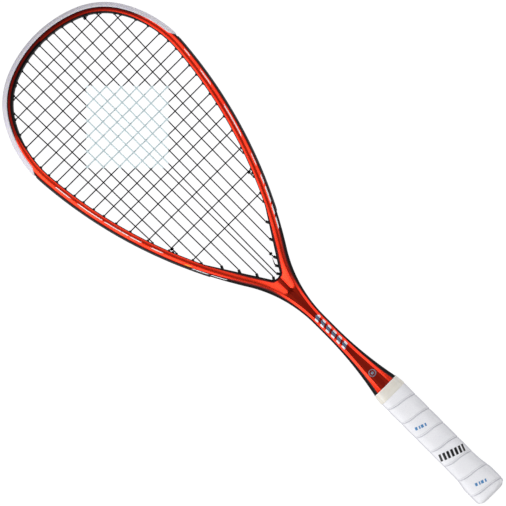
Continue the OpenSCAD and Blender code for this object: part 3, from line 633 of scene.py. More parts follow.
def barrel(hole, side, out=BARREL_OUT, sides=18):
    """A barrel's rings along its hole: from inside the tube to its mouth, back down the bore and
    out to the first ring again."""
    way = along_hole(hole)
    reach = np.array((2.5, -out + 0.25, -out, -out, -out + 0.3, 1.5))
    outer, bore = BARREL_D, BARREL_BORE
    radius = np.array((outer, outer, outer - 0.4, bore + 0.35, bore, bore))[:, None] / 2
    angle = np.linspace(0, 2 * math.pi, sides, endpoint=False)
    centre = hole[1] + way * reach[:, None]
    xy = centre[:, None] + np.array((-way[1], way[0])) * (radius * np.cos(angle))[..., None]
    points = solid_points(xy, radius * np.sin(angle))
    points = np.concatenate((points, points[:1])) * (side, 1, 1)
    return points, ring_faces(*points.shape[:2])


def join_parts(parts):
    """Stacks (points, faces) pairs into one mesh's arrays."""
    starts = np.cumsum([0] + [points[..., 0].size for points, _ in parts])
    points = np.concatenate([points.reshape(-1, 3) for points, _ in parts])
    return points, np.concatenate([faces + start for (_, faces), start in zip(parts, starts)])


def mottled(name, first, second, cloud, grain, strength, relief, rough=None, **settings):
    """A moulded or printed material: two close colours mixed by one noise, with a relief in
    millimetres from another. cloud and grain are each a noise's waves per metre and its detail,
    so that 1400 is a grain of 0.7 mm, and rough is the roughness where the cloud is low and high.
    """
    material, tree, shader, place = new_material(name, **settings)
    patches, bumps = [node(tree, "TexNoise", {"Vector": place, "Scale": scale, "Detail": detail})
                      for scale, detail in (cloud, grain)]
    colour = node(tree, "Mix", {"Factor": patches, "A": first, "B": second}, data_type="RGBA")
    bump = node(tree, "Bump", {"Height": bumps, "Strength": strength, "Distance": relief * MM})
    node(tree, shader, {"Base Color": colour, "Normal": bump})
    if rough:
        node(tree, shader, {"Roughness": node(tree, "MapRange", {0: patches, 3: rough[0], 4: rough[1]})})
    return material


# Translucent polyamide, moulded and faintly grained: light goes into it and comes out cool white
nylon = mottled(
    "moulded_translucent_nylon", "#EDEAF1", "#DDD9E6", (90.0, 4.0), (1400.0, 2.0), 0.12, 0.2,
    Roughness=0.34, Specular_IOR_Level=0.45, Subsurface_Weight=0.35, Transmission_Weight=0.12,
    Subsurface_Radius=(0.004, 0.004, 0.005), Subsurface_Scale=0.6,
)

half_turns = arc_turns(0.0, BUMPER_END, 1.6)
bumper_turns = np.concatenate((-half_turns[:0:-1], half_turns))
to_end = (BUMPER_END - np.abs(bumper_turns)) * math.radians(SIDE_R)
bumper = strip_body(bumper_turns, BUMPER_PROUD * ease(to_end / 5 + 0.35),
                    BUMPER_LIP * ease(to_end / BUMPER_TAPER) ** 0.6)
make_piece("bumper", bumper, ring_faces(*bumper.shape[:2]), nylon, "bumper_plastic",
           replaced=("bumper_guard",), weld=0.002, sharp=50)

# ---------------------------------------------------------------------------------------------
# Grommet strips. One black nylon strip on each side carries on in the channel from the bumper
# down to the first throat grommet, with a barrel for each string that passes through it.
# ---------------------------------------------------------------------------------------------
STRIP_PROUD, STRIP_LIP = 0.5, 1.3  # its thickness over the frame and how far its lips reach
BULGE_TURN, BULGE_SPREAD, BULGE = 66.0, 5, 0.35  # the strip is a little fuller beside the bumper's end

# Black moulded polyamide: a matt, slightly mottled skin
black_nylon = mottled("moulded_black_nylon", "#101316", "#1C2226", (260.0, 4.0), (260.0, 4.0), 0.15, 0.2,
                      rough=(0.42, 0.6), Specular_IOR_Level=0.4)

crown_holes = top_holes + cross_holes[:BUMPER_CROSSES] + [crown_tie]
crown_barrels = join_parts([barrel(hole, side) for hole in crown_holes for side in (-1, 1)])
make_piece("crown_barrels", *crown_barrels, black_nylon, "grommet_plastic", weld=0.002, sharp=40)

strip_turns = arc_turns(BUMPER_END + 0.15, STRIP_END, 1.8)
to_end = np.minimum(strip_turns - strip_turns[0], (strip_turns[-1] - strip_turns) * LEG_R / SIDE_R)
strip_full = STRIP_PROUD + BULGE * np.exp(-(((strip_turns - BULGE_TURN) / BULGE_SPREAD) ** 2))
strip = strip_body(strip_turns, strip_full * ease(to_end * math.radians(SIDE_R) / 2 + 0.4),
                   STRIP_LIP + 0 * strip_turns)
side_holes = [h for h in cross_holes + low_holes[THROAT_MAINS:] + [leg_tie] if h[0] > BUMPER_END]
for side, side_name in ((-1, "left"), (1, "right")):
    strip_parts = [(strip * (side, 1, 1), ring_faces(*strip.shape[:2]))]
    points, faces = join_parts(strip_parts + [barrel(hole, side) for hole in side_holes])
    make_piece("side_strip_" + side_name, points, faces, black_nylon, "grommet_plastic",
               replaced=("grommet_strip_" + side_name,), weld=0.002, sharp=40)

# The loose grommets at the throat, each a sleeve with a head, are the same black nylon


def dress(names, material):
    """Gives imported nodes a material."""
    for name in names:
        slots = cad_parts[name].data.materials
        slots.clear()
        slots.append(material)


throat_grommets = [f"throat_grommet_{side}_{i}" for side in ("left", "right") for i in (1, 2, 3, 4)]
dress(throat_grommets + ["tie_off_grommet"], black_nylon)

# ---------------------------------------------------------------------------------------------
# Strings. One multifilament nylon string makes the mains and another the crosses, each in one
# length: they weave over and under, loop round in the groove and end in knots. A plain pale
# diamond is stencilled across the middle of the bed.
# ---------------------------------------------------------------------------------------------
MAINS = 14
THROAT_OUT = 3.4  # how far the throat grommets stand into the opening
WAVE_CROSS, WAVE_MAIN = 0.90, 0.41  # how far each string swings aside where they pass
INSET = 2.2  # of a loop's ends from its two holes, along the groove
KNOT_AWAY = STRING_D * 1.5 + 0.1  # from the middle of the main to where the tied string ends
KNOT_LIFTS = {"leg": 5.8, "crown": 1.45, "throat": 4.2}


def mouth(hole, out):
    """Where the string leaves a grommet that stands out by so much."""
    return hole[1] - along_hole(hole) * out


def mirrored(point, side, z=0.0):
    """A point of the right half on either side."""
    return np.array((side * point[0], point[1], z))


def main_hole(m, top):
    """A main's side, hole, mouth and outer end at its top or its foot. Mains count from the left."""
    side, i = (-1, MAINS // 2 - 1 - m) if m < MAINS // 2 else (1, m - MAINS // 2)
    hole = top_holes[i] if top else low_holes[i]
    out = BARREL_OUT if top or i >= THROAT_MAINS else THROAT_OUT
    return side, hole, mirrored(mouth(hole, out), side), mirrored(hole[2], side)


def on_main(m, y):
    """The point at height y on a main's straight line from mouth to mouth."""
    top, low = main_hole(m, True)[2], main_hole(m, False)[2]
    return top + (low - top) * ((y - top[1]) / (low[1] - top[1]))[..., None]


def loop(start, end, z, steps=3):
    """A string's run in the groove between two signed turns."""
    way = math.copysign(1, end - start)
    ends = [t + s * way * math.degrees(INSET / radius_at(abs(t))) for t, s in ((start, 1), (end, -1))]
    turns = np.linspace(*ends, steps)
    xy = rim(np.abs(turns), LOOP_OFF) * np.stack((np.sign(turns), np.ones(steps)), -1)
    return solid_points(xy, np.full(steps, z))


def swing(at, crossings, heights):
    """Height along a string: half cosine waves between its crossings, level at its two ends."""
    k = np.clip(np.searchsorted(crossings, at, side="right") - 1, 0, len(crossings) - 2)
    s = np.clip((at - crossings[k]) / (crossings[k + 1] - crossings[k]), 0, 1)
    return heights[k] + (heights[k + 1] - heights[k]) * (0.5 - 0.5 * np.cos(math.pi * s))


cross_mouths = [mouth(h, BARREL_OUT) for h in cross_holes]


def parity(c, m):
    """1 where cross c passes over main m, and -1 where it passes under."""
    return 1.0 if (c + m) % 2 == 0 else -1.0


PASS_CLEAR = 1.5  # nearest that a crossing comes to a mouth


def woven(marks, steps):
    """Places along a string, steps to each half wave between its marks, and its heights there."""
    marks = np.array(marks)
    runs = [np.linspace(a, b, steps + 1)[:-1] for a, b in zip(marks[:-1, 0], marks[1:, 0])]
    at = np.concatenate(runs + [marks[-1:, 0]])
    return at, swing(at, marks[:, 0], marks[:, 1])


def woven_main(m):
    """A main from its top mouth to its low one, pushed down where a cross passes over it."""
    top, low = main_hole(m, True)[2], main_hole(m, False)[2]
    marks = [(low[1], 0.0)]
    for c in reversed(range(len(CROSS_Y))):
        end, x = cross_mouths[c], on_main(m, np.array(cross_mouths[c][1]))[0]
        if low[1] + PASS_CLEAR < end[1] < top[1] - PASS_CLEAR and abs(x) < end[0] - 1:
            marks.append((end[1], -WAVE_MAIN * parity(c, m)))
    y, z = woven(marks + [(top[1], 0.0)], 6)
    points = on_main(m, y)
    points[:, 2] = z
    return points[::-1]


def woven_cross(c):
    """A cross from left to right, over and under the mains."""
    end = cross_mouths[c]
    marks = [(-end[0], 0.0)]
    for m in range(MAINS):
        top, low = main_hole(m, True)[2], main_hole(m, False)[2]
        x = on_main(m, np.array(end[1]))[0]
        if low[1] + PASS_CLEAR < end[1] < top[1] - PASS_CLEAR and abs(x) < end[0] - 1:
            marks.append((x, WAVE_CROSS * parity(c, m)))
    x, z = woven(marks + [(end[0], 0.0)], 8)
    return np.stack((x, np.full(len(x), end[1]), z), -1)


def tied(hole, side, m, lift, out=BARREL_OUT):
    """From beside the knot on main m, through a tie-off hole, to the groove."""
    start, target = mirrored(mouth(hole, out), side), on_main(m, np.array(lift))
    away = (start - target) / np.linalg.norm(start - target)
    return np.array((target + away * KNOT_AWAY, start, mirrored(hole[2], side)))


def rounded(points, reach=1.3, steps=4):
    """The path with each corner cut back by reach, or 0.45 of its runs, and bridged by a curve:
    (1-s)^2 start + 2s(1-s) corner + s^2 end. Corners flatter than 12 degrees stay."""
    before, after = points[:-2] - points[1:-1], points[2:] - points[1:-1]
    long_b, long_a = np.linalg.norm(before, axis=1), np.linalg.norm(after, axis=1)
    bent = np.einsum("ij,ij->i", before, after) / (long_b * long_a) > -math.cos(math.radians(12))
    s = np.linspace(0, 1, steps)[None, :, None]
    corner = points[1:-1, None]
    cut_b = before * (np.minimum(reach, 0.45 * long_b) / long_b)[:, None]
    cut_a = after * (np.minimum(reach, 0.45 * long_a) / long_a)[:, None]
    start, end = corner + cut_b[:, None], corner + cut_a[:, None]
    curve = (1 - s) ** 2 * start + 2 * s * (1 - s) * corner + s**2 * end
    keep = np.ones((len(bent), steps), bool)
    keep[~bent, 1:] = False
    curve[~bent, 0] = points[1:-1][~bent]
    return np.concatenate((points[:1], curve[keep], points[-1:]))


def string_tube(path, radius, sides=10):
    """A tube round a path with rounded ends, and its uv in millimetres along and turns round.
    Each ring is square to the path: across = tangent x up, raised = across x tangent."""
    tangent = np.gradient(path, axis=0)
    tangent /= np.linalg.norm(tangent, axis=1)[:, None]
    across = np.cross(tangent, (0.0, 0.0, 1.0))
    across /= np.linalg.norm(across, axis=1)[:, None]
    raised = np.cross(across, tangent)
    k, last = np.arange(sides), len(path) - 1
    angle = (2 * math.pi * k / sides)[None, :, None]
    size = np.full(len(path), radius)
    size[[0, -1]] = radius * 0.05
    ring = across[:, None] * np.cos(angle) + raised[:, None] * np.sin(angle)
    points = path[:, None] + ring * size[:, None, None]
    run = np.append(0, np.cumsum(np.linalg.norm(np.diff(path, axis=0), axis=1)))
    corners = [np.stack(np.broadcast_arrays(run[i : last + i, None], (k + j) / sides), -1)
               for i, j in ((0, 0), (0, 1), (1, 1), (1, 0))]
    uv = np.concatenate((np.stack(corners, 2).reshape(-1, 2), np.zeros((2 * sides, 2))))
    return points, list(ring_faces(len(path), sides)) + [k[::-1], last * sides + k], uv


leg_knot_y = mouth(low_holes[5], BARREL_OUT)[1] + KNOT_LIFTS["leg"]
crown_knot_y = mouth(top_holes[4], BARREL_OUT)[1] - KNOT_LIFTS["crown"]
throat_knot_y = mouth(low_holes[1], THROAT_OUT)[1] + KNOT_LIFTS["throat"]
main_parts = [tied(leg_tie, -1, 1, leg_knot_y)]
for m in range(MAINS):
    up = m % 2 == 0
    entry, leave = main_hole(m, not up), main_hole(m, up)
    start = -leg_tie[0] if m == 0 else previous
    main_parts += [loop(start, entry[0] * entry[1][0], LANE, 5 if m == 0 else 3), entry[3][None]]
    run = woven_main(m)
    main_parts += [run[::-1] if up else run, leave[3][None]]
    previous = leave[0] * leave[1][0]
main_parts += [loop(previous, leg_tie[0], LANE, 5), tied(leg_tie, 1, MAINS - 2, leg_knot_y)[::-1]]
cross_parts = [tied(crown_tie, 1, MAINS - 3, crown_knot_y), loop(crown_tie[0], cross_holes[0][0], -LANE, 5)]
for c in range(len(CROSS_Y)):
    side = -1 if c % 2 == 0 else 1
    ends = [mirrored(cross_holes[c][2], end_side)[None] for end_side in (-1, 1)]
    run = np.concatenate((ends[0], woven_cross(c), ends[1]))
    cross_parts.append(run[::-1] if side < 0 else run)
    if c < len(CROSS_Y) - 1:
        cross_parts.append(loop(side * cross_holes[c][0], side * cross_holes[c + 1][0], -LANE))
cross_parts += [loop(cross_holes[-1][0], throat_tie[0], -LANE, 12),
                tied(throat_tie, 1, MAINS // 2 + 1, throat_knot_y, THROAT_OUT)[::-1]]

# Black multifilament: twisted filaments bonded in resin, drawn as a helix with a 2.2 mm lay.
# The stencil ink is a solid pale diamond that lies only on the strings' upper and lower sides.
INK, STENCIL_Y, STENCIL_HALF = "#C8DEE2", 548.0, 62.0
LAY, FILAMENTS = 2.2, 9
multifilament, tree, shader, place = new_material("bonded_multifilament_nylon", Roughness=0.6,
                                                  Specular_IOR_Level=0.08)
centred = node(tree, "Mapping", {"Vector": place, "Location": (0.0, -STENCIL_Y / STENCIL_HALF, 0.0),
                                 "Scale": (1 / (STENCIL_HALF * MM),) * 3})
off = node(tree, "SeparateXYZ", {0: node(tree, "VectorMath", {0: centred}, operation="ABSOLUTE")}).outputs
diamond = node(tree, "Math", {0: off["X"], 1: off["Y"]}, operation="ADD")
patchy = node(tree, "TexNoise", {"Vector": place, "Scale": 900.0, "Detail": 2.0})
ragged = node(tree, "Math", {0: patchy, 1: 0.03, 2: diamond}, operation="MULTIPLY_ADD")
inside_it = node(tree, "MapRange", {0: ragged, 1: 1.02, 2: 1.0})
facing_z = node(tree, "SeparateXYZ", {0: node(tree, "NewGeometry").outputs["Normal"]}).outputs["Z"]
upright = node(tree, "Math", {0: facing_z}, operation="ABSOLUTE")
upper = node(tree, "MapRange", {0: upright, 1: 0.15, 2: 0.45})
inked = node(tree, "Math", {0: inside_it, 1: upper}, operation="MULTIPLY")
uv_axis = node(tree, "SeparateXYZ", {0: node(tree, "TexCoord").outputs["UV"]}).outputs
lay = node(tree, "Math", {0: uv_axis["X"], 1: 2 * math.pi / LAY}, operation="MULTIPLY")
around = node(tree, "Math", {0: uv_axis["Y"], 1: 2 * math.pi * FILAMENTS, 2: lay}, operation="MULTIPLY_ADD")
helix = node(tree, "Math", {0: around}, operation="SINE")
crest = node(tree, "MapRange", {0: helix, 1: -1.0, 2: 1.0})
filament = node(tree, "Mix", {"Factor": crest, "A": "#010101", "B": "#050506"}, data_type="RGBA")
dyed = node(tree, "Mix", {"Factor": inked, "A": filament, "B": INK}, data_type="RGBA")
rough = node(tree, "MapRange", {0: helix, 1: -1.0, 2: 1.0, 3: 0.5, 4: 0.32})
bump = node(tree, "Bump", {"Height": helix, "Strength": 0.3, "Distance": 0.00004})
node(tree, shader, {"Base Color": dyed, "Roughness": rough, "Normal": bump})

both_strings = (("mains", main_parts, "main_string"), ("crosses", cross_parts, "cross_string"))
for name, parts, node_name in both_strings:
    points, faces, uv = string_tube(rounded(np.concatenate(parts)), STRING_D / 2)
    string = make_piece(name, points, faces, multifilament, "string", replaced=(node_name,))
    string.data.uv_layers.new(name="UVMap").data.foreach_set("uv", uv.astype(np.float32).ravel())
dress(["tie_off_knots"], multifilament)

# ---------------------------------------------------------------------------------------------
# Butt cap. A moulded white nylon cup over the shaft's end, stapled to it through its broad
# sides. The flare that stops the hand is under the grip; only its end shows, with a shallow dish.
# ---------------------------------------------------------------------------------------------
FLARE, CAP_LEN, SKIRT, TUCK = 2.2, 38.0, 0.25, 4.5  # TUCK is how far its end rounds inwards
DISH, DISH_SHARE = 0.9, 0.62  # the dish's depth, and its width as a share of the end's
CORE_ROUND = 3.1  # exponent of the handle's section: 2 is an ellipse
ROUND_STEPS = 192


def oval(half_w, half_d, power, steps=ROUND_STEPS):
    """Superellipse rings: (w |cos|^(2/n), d |sin|^(2/n)), one for each pair of half-widths."""
    angle = np.linspace(0, 2 * math.pi, steps, endpoint=False)
    c, s = np.cos(angle), np.sin(angle)
    share = np.stack((np.sign(c) * np.abs(c) ** (2 / power), np.sign(s) * np.abs(s) ** (2 / power)), -1)
    return share * np.stack(np.broadcast_arrays(half_w, half_d), -1)[:, None, :]


def stacked(ys, rings):
    """Rings in x and z at heights ys, as points."""
    y = np.broadcast_to(np.asarray(ys)[:, None, None], rings.shape[:2] + (1,))
    return np.concatenate((rings[..., :1], y, rings[..., 1:]), -1)


def cap_grow(y):
    """How much wider than the shaft the cap is: its flare, less the rounding of its end."""
    swell = FLARE * (1 - ease((y - 20) / (CAP_LEN - 20)))
    return swell - TUCK * (1 - np.sqrt(1 - (np.maximum(0, 6 - y) / 6) ** 2))


round_foot = 6 * (1 - np.cos(np.linspace(0, math.pi / 2, 14)))
cap_ys = np.concatenate((round_foot, np.linspace(7, CAP_LEN, 24)))
cap_wider = SKIRT + cap_grow(cap_ys)
cap_rings = stacked(cap_ys, oval(CORE_HALF_W + cap_wider, CORE_HALF_D + cap_wider, CORE_ROUND))
dish = np.array((0.0, 0.3, DISH_SHARE - 0.12, DISH_SHARE - 0.04, DISH_SHARE, DISH_SHARE + 0.05, 0.85, 0.96))
dish_y = np.array((1.0, 1.0, 1.0, 0.85, 0.45, 0.1, 0.0, 0.0)) * DISH
foot_half = cap_rings[0, [0, ROUND_STEPS // 4]].max(0)[[0, 2]]
dish_rings = stacked(dish_y, oval(*(dish[None] * foot_half[:, None]), 2.3))
socket = [np.array((1, 1, 0)) * (half + 0.05) for half in (CORE_HALF_W, CORE_HALF_D)]
socket_rings = stacked((CAP_LEN, 2.5, 2.5), oval(*socket, CORE_ROUND))
cap_points = np.concatenate((dish_rings, cap_rings, socket_rings))

# White glass-filled nylon, satin, with the faint mottle of a moulding
cap_nylon = mottled("moulded_white_nylon", "#EDEDEF", "#DFDFE2", (120.0, 5.0), (2500.0, 2.0), 0.1, 0.1,
                    Roughness=0.45, Specular_IOR_Level=0.45)
make_piece("butt_end", cap_points, ring_faces(*cap_points.shape[:2]), cap_nylon, "cap_plastic",
           replaced=("butt_cap",), weld=0.002, sharp=35)

# Drawn steel wire, brushed by the die along its length
wire, tree, shader, place = new_material("drawn_steel_wire", Metallic=1.0, Roughness=0.3)
pulled = node(tree, "Mapping", {"Vector": place, "Scale": (300.0, 6000.0, 6000.0)})
drawn = node(tree, "TexNoise", {"Vector": pulled})
steel = node(tree, "Mix", {"Factor": drawn, "A": "#A9AAAE", "B": "#8C8D92"}, data_type="RGBA")
node(tree, shader, {"Base Color": steel})
dress(["cap_staples"], wire)

# ---------------------------------------------------------------------------------------------
# Grip. A soft white polyurethane strip with a felt back, wound in a spiral from the butt to the
# collar. Each turn laps over the one before, so its edge stands up and its middle is padded.
# ---------------------------------------------------------------------------------------------
GRIP_FOOT, GRIP_TOP, GRIP_T = 2.4, 151.0, 1.4
WIND_PITCH, WIND_START = 21.15, 10.4  # turns' spacing, and a lap's height on the front's middle
PILLOW, LAP_EDGE, LAP_GROOVE = 0.42, 0.30, 0.62  # heights over and under the felt
LAP_WIDTH = 0.021  # of the groove, as a share of a turn


def wind_phase(angle, y):
    """Place between two laps, 0 to 1 going up: laps climb by the pitch each turn."""
    return ((y - WIND_START) / WIND_PITCH - (angle - math.pi / 2) / (2 * math.pi)) % 1.0


def grip_height(phase):
    """The strip's outer surface over its felt: a shallow pillow, a raised edge just above each
    lap's line and a groove in the line itself."""
    pillow = PILLOW * (1 - np.abs(2 * phase - 1) ** 3)
    edge = LAP_EDGE * np.exp(-(((phase - 0.045) / 0.05) ** 2))
    second = 0.16 * np.exp(-(((phase - 0.955) / 0.03) ** 2))
    groove = LAP_GROOVE * np.exp(-((np.minimum(phase, 1 - phase) / LAP_WIDTH) ** 2))
    return pillow + edge + second - groove


def handle_rings(wider):
    """Rings of the handle's section, each wider than its core by so much, and the directions
    square to them."""
    rings = oval(CORE_HALF_W + wider, CORE_HALF_D + wider, CORE_ROUND)
    slope = np.gradient(rings, axis=1)
    outward = np.stack((slope[..., 1], -slope[..., 0]), -1)
    return rings, outward / np.linalg.norm(outward, axis=-1, keepdims=True)


def closed_rings(rows):
    """Quads of rings of points that also join the last ring to the first."""
    closing = ring_faces(2, ROUND_STEPS)
    closing[:, :2] += (rows - 1) * ROUND_STEPS
    closing[:, 2:] -= ROUND_STEPS
    return np.concatenate((ring_faces(rows, ROUND_STEPS), closing))


round_foot = 3.6 * (1 - np.cos(np.linspace(0, math.pi / 2, 9)[:-1]))
grip_ys = np.concatenate((GRIP_FOOT + round_foot, np.arange(6, 142, 0.48), np.linspace(142.2, GRIP_TOP, 12)))
angle = np.linspace(0, 2 * math.pi, ROUND_STEPS, endpoint=False)
past_cap = SKIRT * ease((CAP_LEN + 3 - grip_ys) / 3)
grow = 0.05 + np.where(grip_ys <= CAP_LEN, cap_grow(grip_ys) + SKIRT, past_cap)
fade = ease((grip_ys - GRIP_FOOT) / 4)[:, None] * ease((GRIP_TOP + 2 - grip_ys) / 8)[:, None]
phase = wind_phase(angle[None, :], grip_ys[:, None])
rise = GRIP_T - PILLOW - 0.12 + fade * grip_height(phase) + (1 - fade) * 0.2
rings, outward = handle_rings(grow)
grip_outer = stacked(grip_ys, rings + outward * rise[..., None])
foot_rings = rings[:2] + outward[:2] * np.array((0.35, -0.3))[:, None, None]
foot = stacked([GRIP_FOOT - 0.05, GRIP_FOOT + 0.1], foot_rings)
top = stacked([GRIP_TOP, 60.0], rings[[-1, -1]])
grip_points = np.concatenate((foot[::-1], grip_outer, top))

# Cast polyurethane film on felt: a matt, leather-like grain of 0.6 mm with small pores. Painted
# shade greys it in the groove where each turn laps over the last, and along its narrow sides.
PU_WHITE, PU_SHADE, PU_PORES, PU_PAINTED_SHADE = "#F7F7F9", "#EDEDF1", "#E2E2E8", "#B4B4BC"
film, tree, shader, place = new_material("wound_polyurethane_film", Roughness=0.55, Specular_IOR_Level=0.35,
                                         Sheen_Weight=0.12, Sheen_Roughness=0.5)
cells = node(tree, "TexVoronoi", {"Vector": place, "Scale": 1500.0}, feature="DISTANCE_TO_EDGE")
cloud = node(tree, "TexNoise", {"Vector": place, "Scale": 60.0, "Detail": 4.0})
crease = node(tree, "MapRange", {0: cells, 1: 0.0, 2: 0.12})
shade = node(tree, "Mix", {"Factor": cloud, "A": PU_WHITE, "B": PU_SHADE}, data_type="RGBA")
worn = node(tree, "Mix", {"Factor": crease, "A": PU_PORES, "B": shade}, data_type="RGBA")
lap = node(tree, "Attribute", attribute_name="tone").outputs["Fac"]
shaded_film = node(tree, "Mix", {"Factor": lap, "A": worn, "B": PU_PAINTED_SHADE}, data_type="RGBA")
rough = node(tree, "MapRange", {0: cloud, 3: 0.48, 4: 0.64})
bump = node(tree, "Bump", {"Height": crease, "Strength": 0.25, "Distance": 0.00015})
node(tree, shader, {"Base Color": shaded_film, "Roughness": rough, "Normal": bump})

# Painted shade: the film is greyer in the laps' grooves and just above their raised edges, and along its
# narrow sides
lap_shade = np.exp(-((np.minimum(phase, 1 - phase) / 0.024) ** 2))
lap_shade += 0.45 * np.exp(-(((phase - 0.085) / 0.02) ** 2))
# Painted shade along the narrow sides, which turn away from the camera.
painted_side_shade = 0.75 * ease((np.abs(np.cos(angle)) ** (2 / CORE_ROUND) - 0.86) / 0.14)[None, :]
lap_tone = np.maximum(lap_shade * fade, painted_side_shade)
lap_tone = np.concatenate((lap_tone[:2], lap_tone, lap_tone[-2:]))
make_piece("wound_grip", grip_points, closed_rings(len(grip_points)), film, "grip", replaced=("grip_tape",),
           weld=0.001, tone=lap_tone)

# ---------------------------------------------------------------------------------------------
# Collar. A short cream stretch tape that holds the grip's upper end down to the shaft. It is
# thin and elastic, so it takes the shape of the step below it and shows soft stretch lines.
# ---------------------------------------------------------------------------------------------
COLLAR_FOOT, COLLAR_T, TOP_LINE, RIPPLE = 149.6, 0.5, 0.8, 0.05
foot_edge, top_edge = COLLAR_FOOT + np.array((0.0, 0.1, 0.35)), COLLAR_TOP - np.array((0.25, 0.08, 0.0))
collar_ys = np.concatenate((foot_edge, np.linspace(150.4, COLLAR_TOP - 0.5, 26), top_edge))
over_grip = np.clip((COLLAR_TOP - 1 - collar_ys) / (COLLAR_TOP - 1 - GRIP_TOP), 0, 1)
to_end = np.minimum(collar_ys - COLLAR_FOOT, COLLAR_TOP - collar_ys)
end_round = np.minimum(1, np.sqrt(to_end / 0.4 + 0.15))[:, None]
waves = np.sin(2 * math.pi * (collar_ys / 2.6))[:, None] * np.sin(angle * 3 + collar_ys[:, None] * 0.4)
rings, outward = handle_rings(0.1 + (GRIP_T - 0.3) * over_grip)
collar_outer = stacked(collar_ys, rings + outward * (COLLAR_T * end_round + RIPPLE * waves)[..., None])
collar_inner = stacked(collar_ys[[-1, 0]], rings[[-1, 0]])
collar_points = np.concatenate((collar_outer, collar_inner))

# Natural rubber tape: creamy, slightly see-through and glossy where it is stretched smooth
rubber, tree, shader, place = new_material(
    "stretched_cream_rubber", Roughness=0.32, Specular_IOR_Level=0.5, Subsurface_Weight=0.2,
    Subsurface_Radius=(0.003, 0.0025, 0.002), Subsurface_Scale=0.5,
)
pull = node(tree, "Mapping", {"Vector": place, "Scale": (60.0, 700.0, 60.0)})
streak = node(tree, "TexNoise", {"Vector": pull, "Scale": 1.0, "Detail": 3.0})
cream = node(tree, "Mix", {"Factor": streak, "A": "#EBE7DE", "B": "#DED8CC"}, data_type="RGBA")
height = node(tree, "SeparateXYZ", {0: place}).outputs["Y"]
line_y = COLLAR_TOP - TOP_LINE
top_line = node(tree, "MapRange", {0: height, 1: (line_y - 0.2) * MM, 2: line_y * MM})
rimmed = node(tree, "Mix", {"Factor": top_line, "A": cream, "B": "#F6F4F0"}, data_type="RGBA")
bump = node(tree, "Bump", {"Height": streak, "Strength": 0.25, "Distance": 0.0003})
node(tree, shader, {"Base Color": rimmed, "Normal": bump})
make_piece("collar", collar_points, closed_rings(len(collar_points)), rubber, "collar_tape",
           replaced=("collar_tape",), weld=0.001)

# ---------------------------------------------------------------------------------------------
# Printed marks. Plain transfers lie on the paint and the grip: slanted bars along the neck, a
# round spot above the collar, dashes round the hoop's face, and bars and dashes on the grip.
# ---------------------------------------------------------------------------------------------
TRANSFER_T = 0.05  # of a transfer's film over the surface


def ink(name, first, second):
    """Screen-printed vinyl ink: flat, satin, with the fine mottle of the mesh it went through."""
    mesh_grain = (2200.0, 2.0)
    return mottled("screen_ink_" + name, first, second, mesh_grain, mesh_grain, 0.08, 0.1,
                   Roughness=0.4, Specular_IOR_Level=0.4)


def face_height(off, turn):
    """Height of the hoop's painted face off millimetres inside its outer edge."""
    k = int(np.argmin(np.abs(hoop_turns - turn)))
    offs = np.concatenate((side_off[k], face_off[k]))
    heights = np.concatenate((side_z[k], face_z[k]))
    return np.interp(off, offs[3:], heights[3:])


def closed_patch(sheet, down):
    """A thin film: a grid of points above the surface and the same grid below it, joined."""
    rows, columns = sheet.shape[:2]
    count = rows * columns
    top, under = grid_faces(rows, columns), grid_faces(rows, columns, first=count)[:, ::-1]
    at = np.arange(count).reshape(rows, columns)
    edge = np.concatenate((at[0], at[1:, -1], at[-1, -2::-1], at[-2:0:-1, 0]))
    after = np.roll(edge, -1)
    skirt = np.stack((after, edge, edge + count, after + count), -1)
    return np.stack((sheet, sheet - (0, 0, down))), np.concatenate((top, under, skirt))


def transfers(name, sheets, colour, slot="frame_paint", down=2 * TRANSFER_T):
    """One piece of printed films that reach down through the surface."""
    make_piece(name, *join_parts([closed_patch(sheet, down) for sheet in sheets]), colour, slot, weld=0.0005)


widest_row = int(np.argmax(outer_line[: len(hoop_turns), 0]))


def hoop_dash(side, y_from, y_to, off_from, off_to, slant=1.2):
    """A dash on the hoop's face between two heights and two depths below the outer edge."""
    low_ys = -outer_line[widest_row : len(hoop_turns), 1]
    turns = np.linspace(*np.interp((-y_from, -y_to), low_ys, hoop_turns[widest_row:]), 24)
    grid_turns = turns[:, None] + math.degrees(slant / LEG_R) * np.linspace(-1, 1, 4)
    offs = np.broadcast_to(np.linspace(off_from, off_to, 4), grid_turns.shape)
    heights = np.array([face_height(o, t) for o, t in zip(offs, turns)]) + TRANSFER_T
    return solid_points(rim(grid_turns, offs), heights) * (side, 1, 1)


LEFT_DASHES = (  # each from one height to another, between two distances from the outer edge
    (555, 536, 5.3, 6.2), (526, 495, 5.3, 6.2), (492, 463.5, 5.3, 6.2), (462, 449, 5.3, 6.2),
    (437, 425, 5.0, 5.9), (392, 376, 1.4, 2.2), (373, 358, 1.4, 2.2),
)
RIGHT_DASHES = (
    (563, 554, 3.4, 4.4), (535, 517, 3.7, 4.7), (491, 455, 3.8, 4.9), (434, 422, 2.9, 3.7),
    (411, 402, 2.5, 3.8), (399, 383, 2.5, 3.8), (380, 371, 2.5, 3.8), (368, 358, 2.5, 3.8),
)
white_ink = ink("white", "#F2F2F4", "#E2E2E6")
dashes = [(-1, dash) for dash in LEFT_DASHES] + [(1, dash) for dash in RIGHT_DASHES]
transfers("hoop_dashes", [hoop_dash(side, *dash) for side, dash in dashes], white_ink)
transfers("hoop_tick", [hoop_dash(-1, 400, 394, 2.8, 3.8)], ink("yellow", "#E8B828", "#DDAC20"))


def neck_height(x, y):
    """Height of the painted neck at (x, y), from the skin's own rows."""
    k = len(hoop_turns) + int(np.clip(np.round((NECK_Y - y) / EDGE_STEP) - 1, 0, len(shaft_ys) - 5))
    across, heights = [np.concatenate(pair)[3:][::-1] for pair in
                       ((side_xy[k, :, 0], face_xy[k, :, 0]), (side_z[k], face_z[k]))]
    return np.interp(abs(x), across, heights)


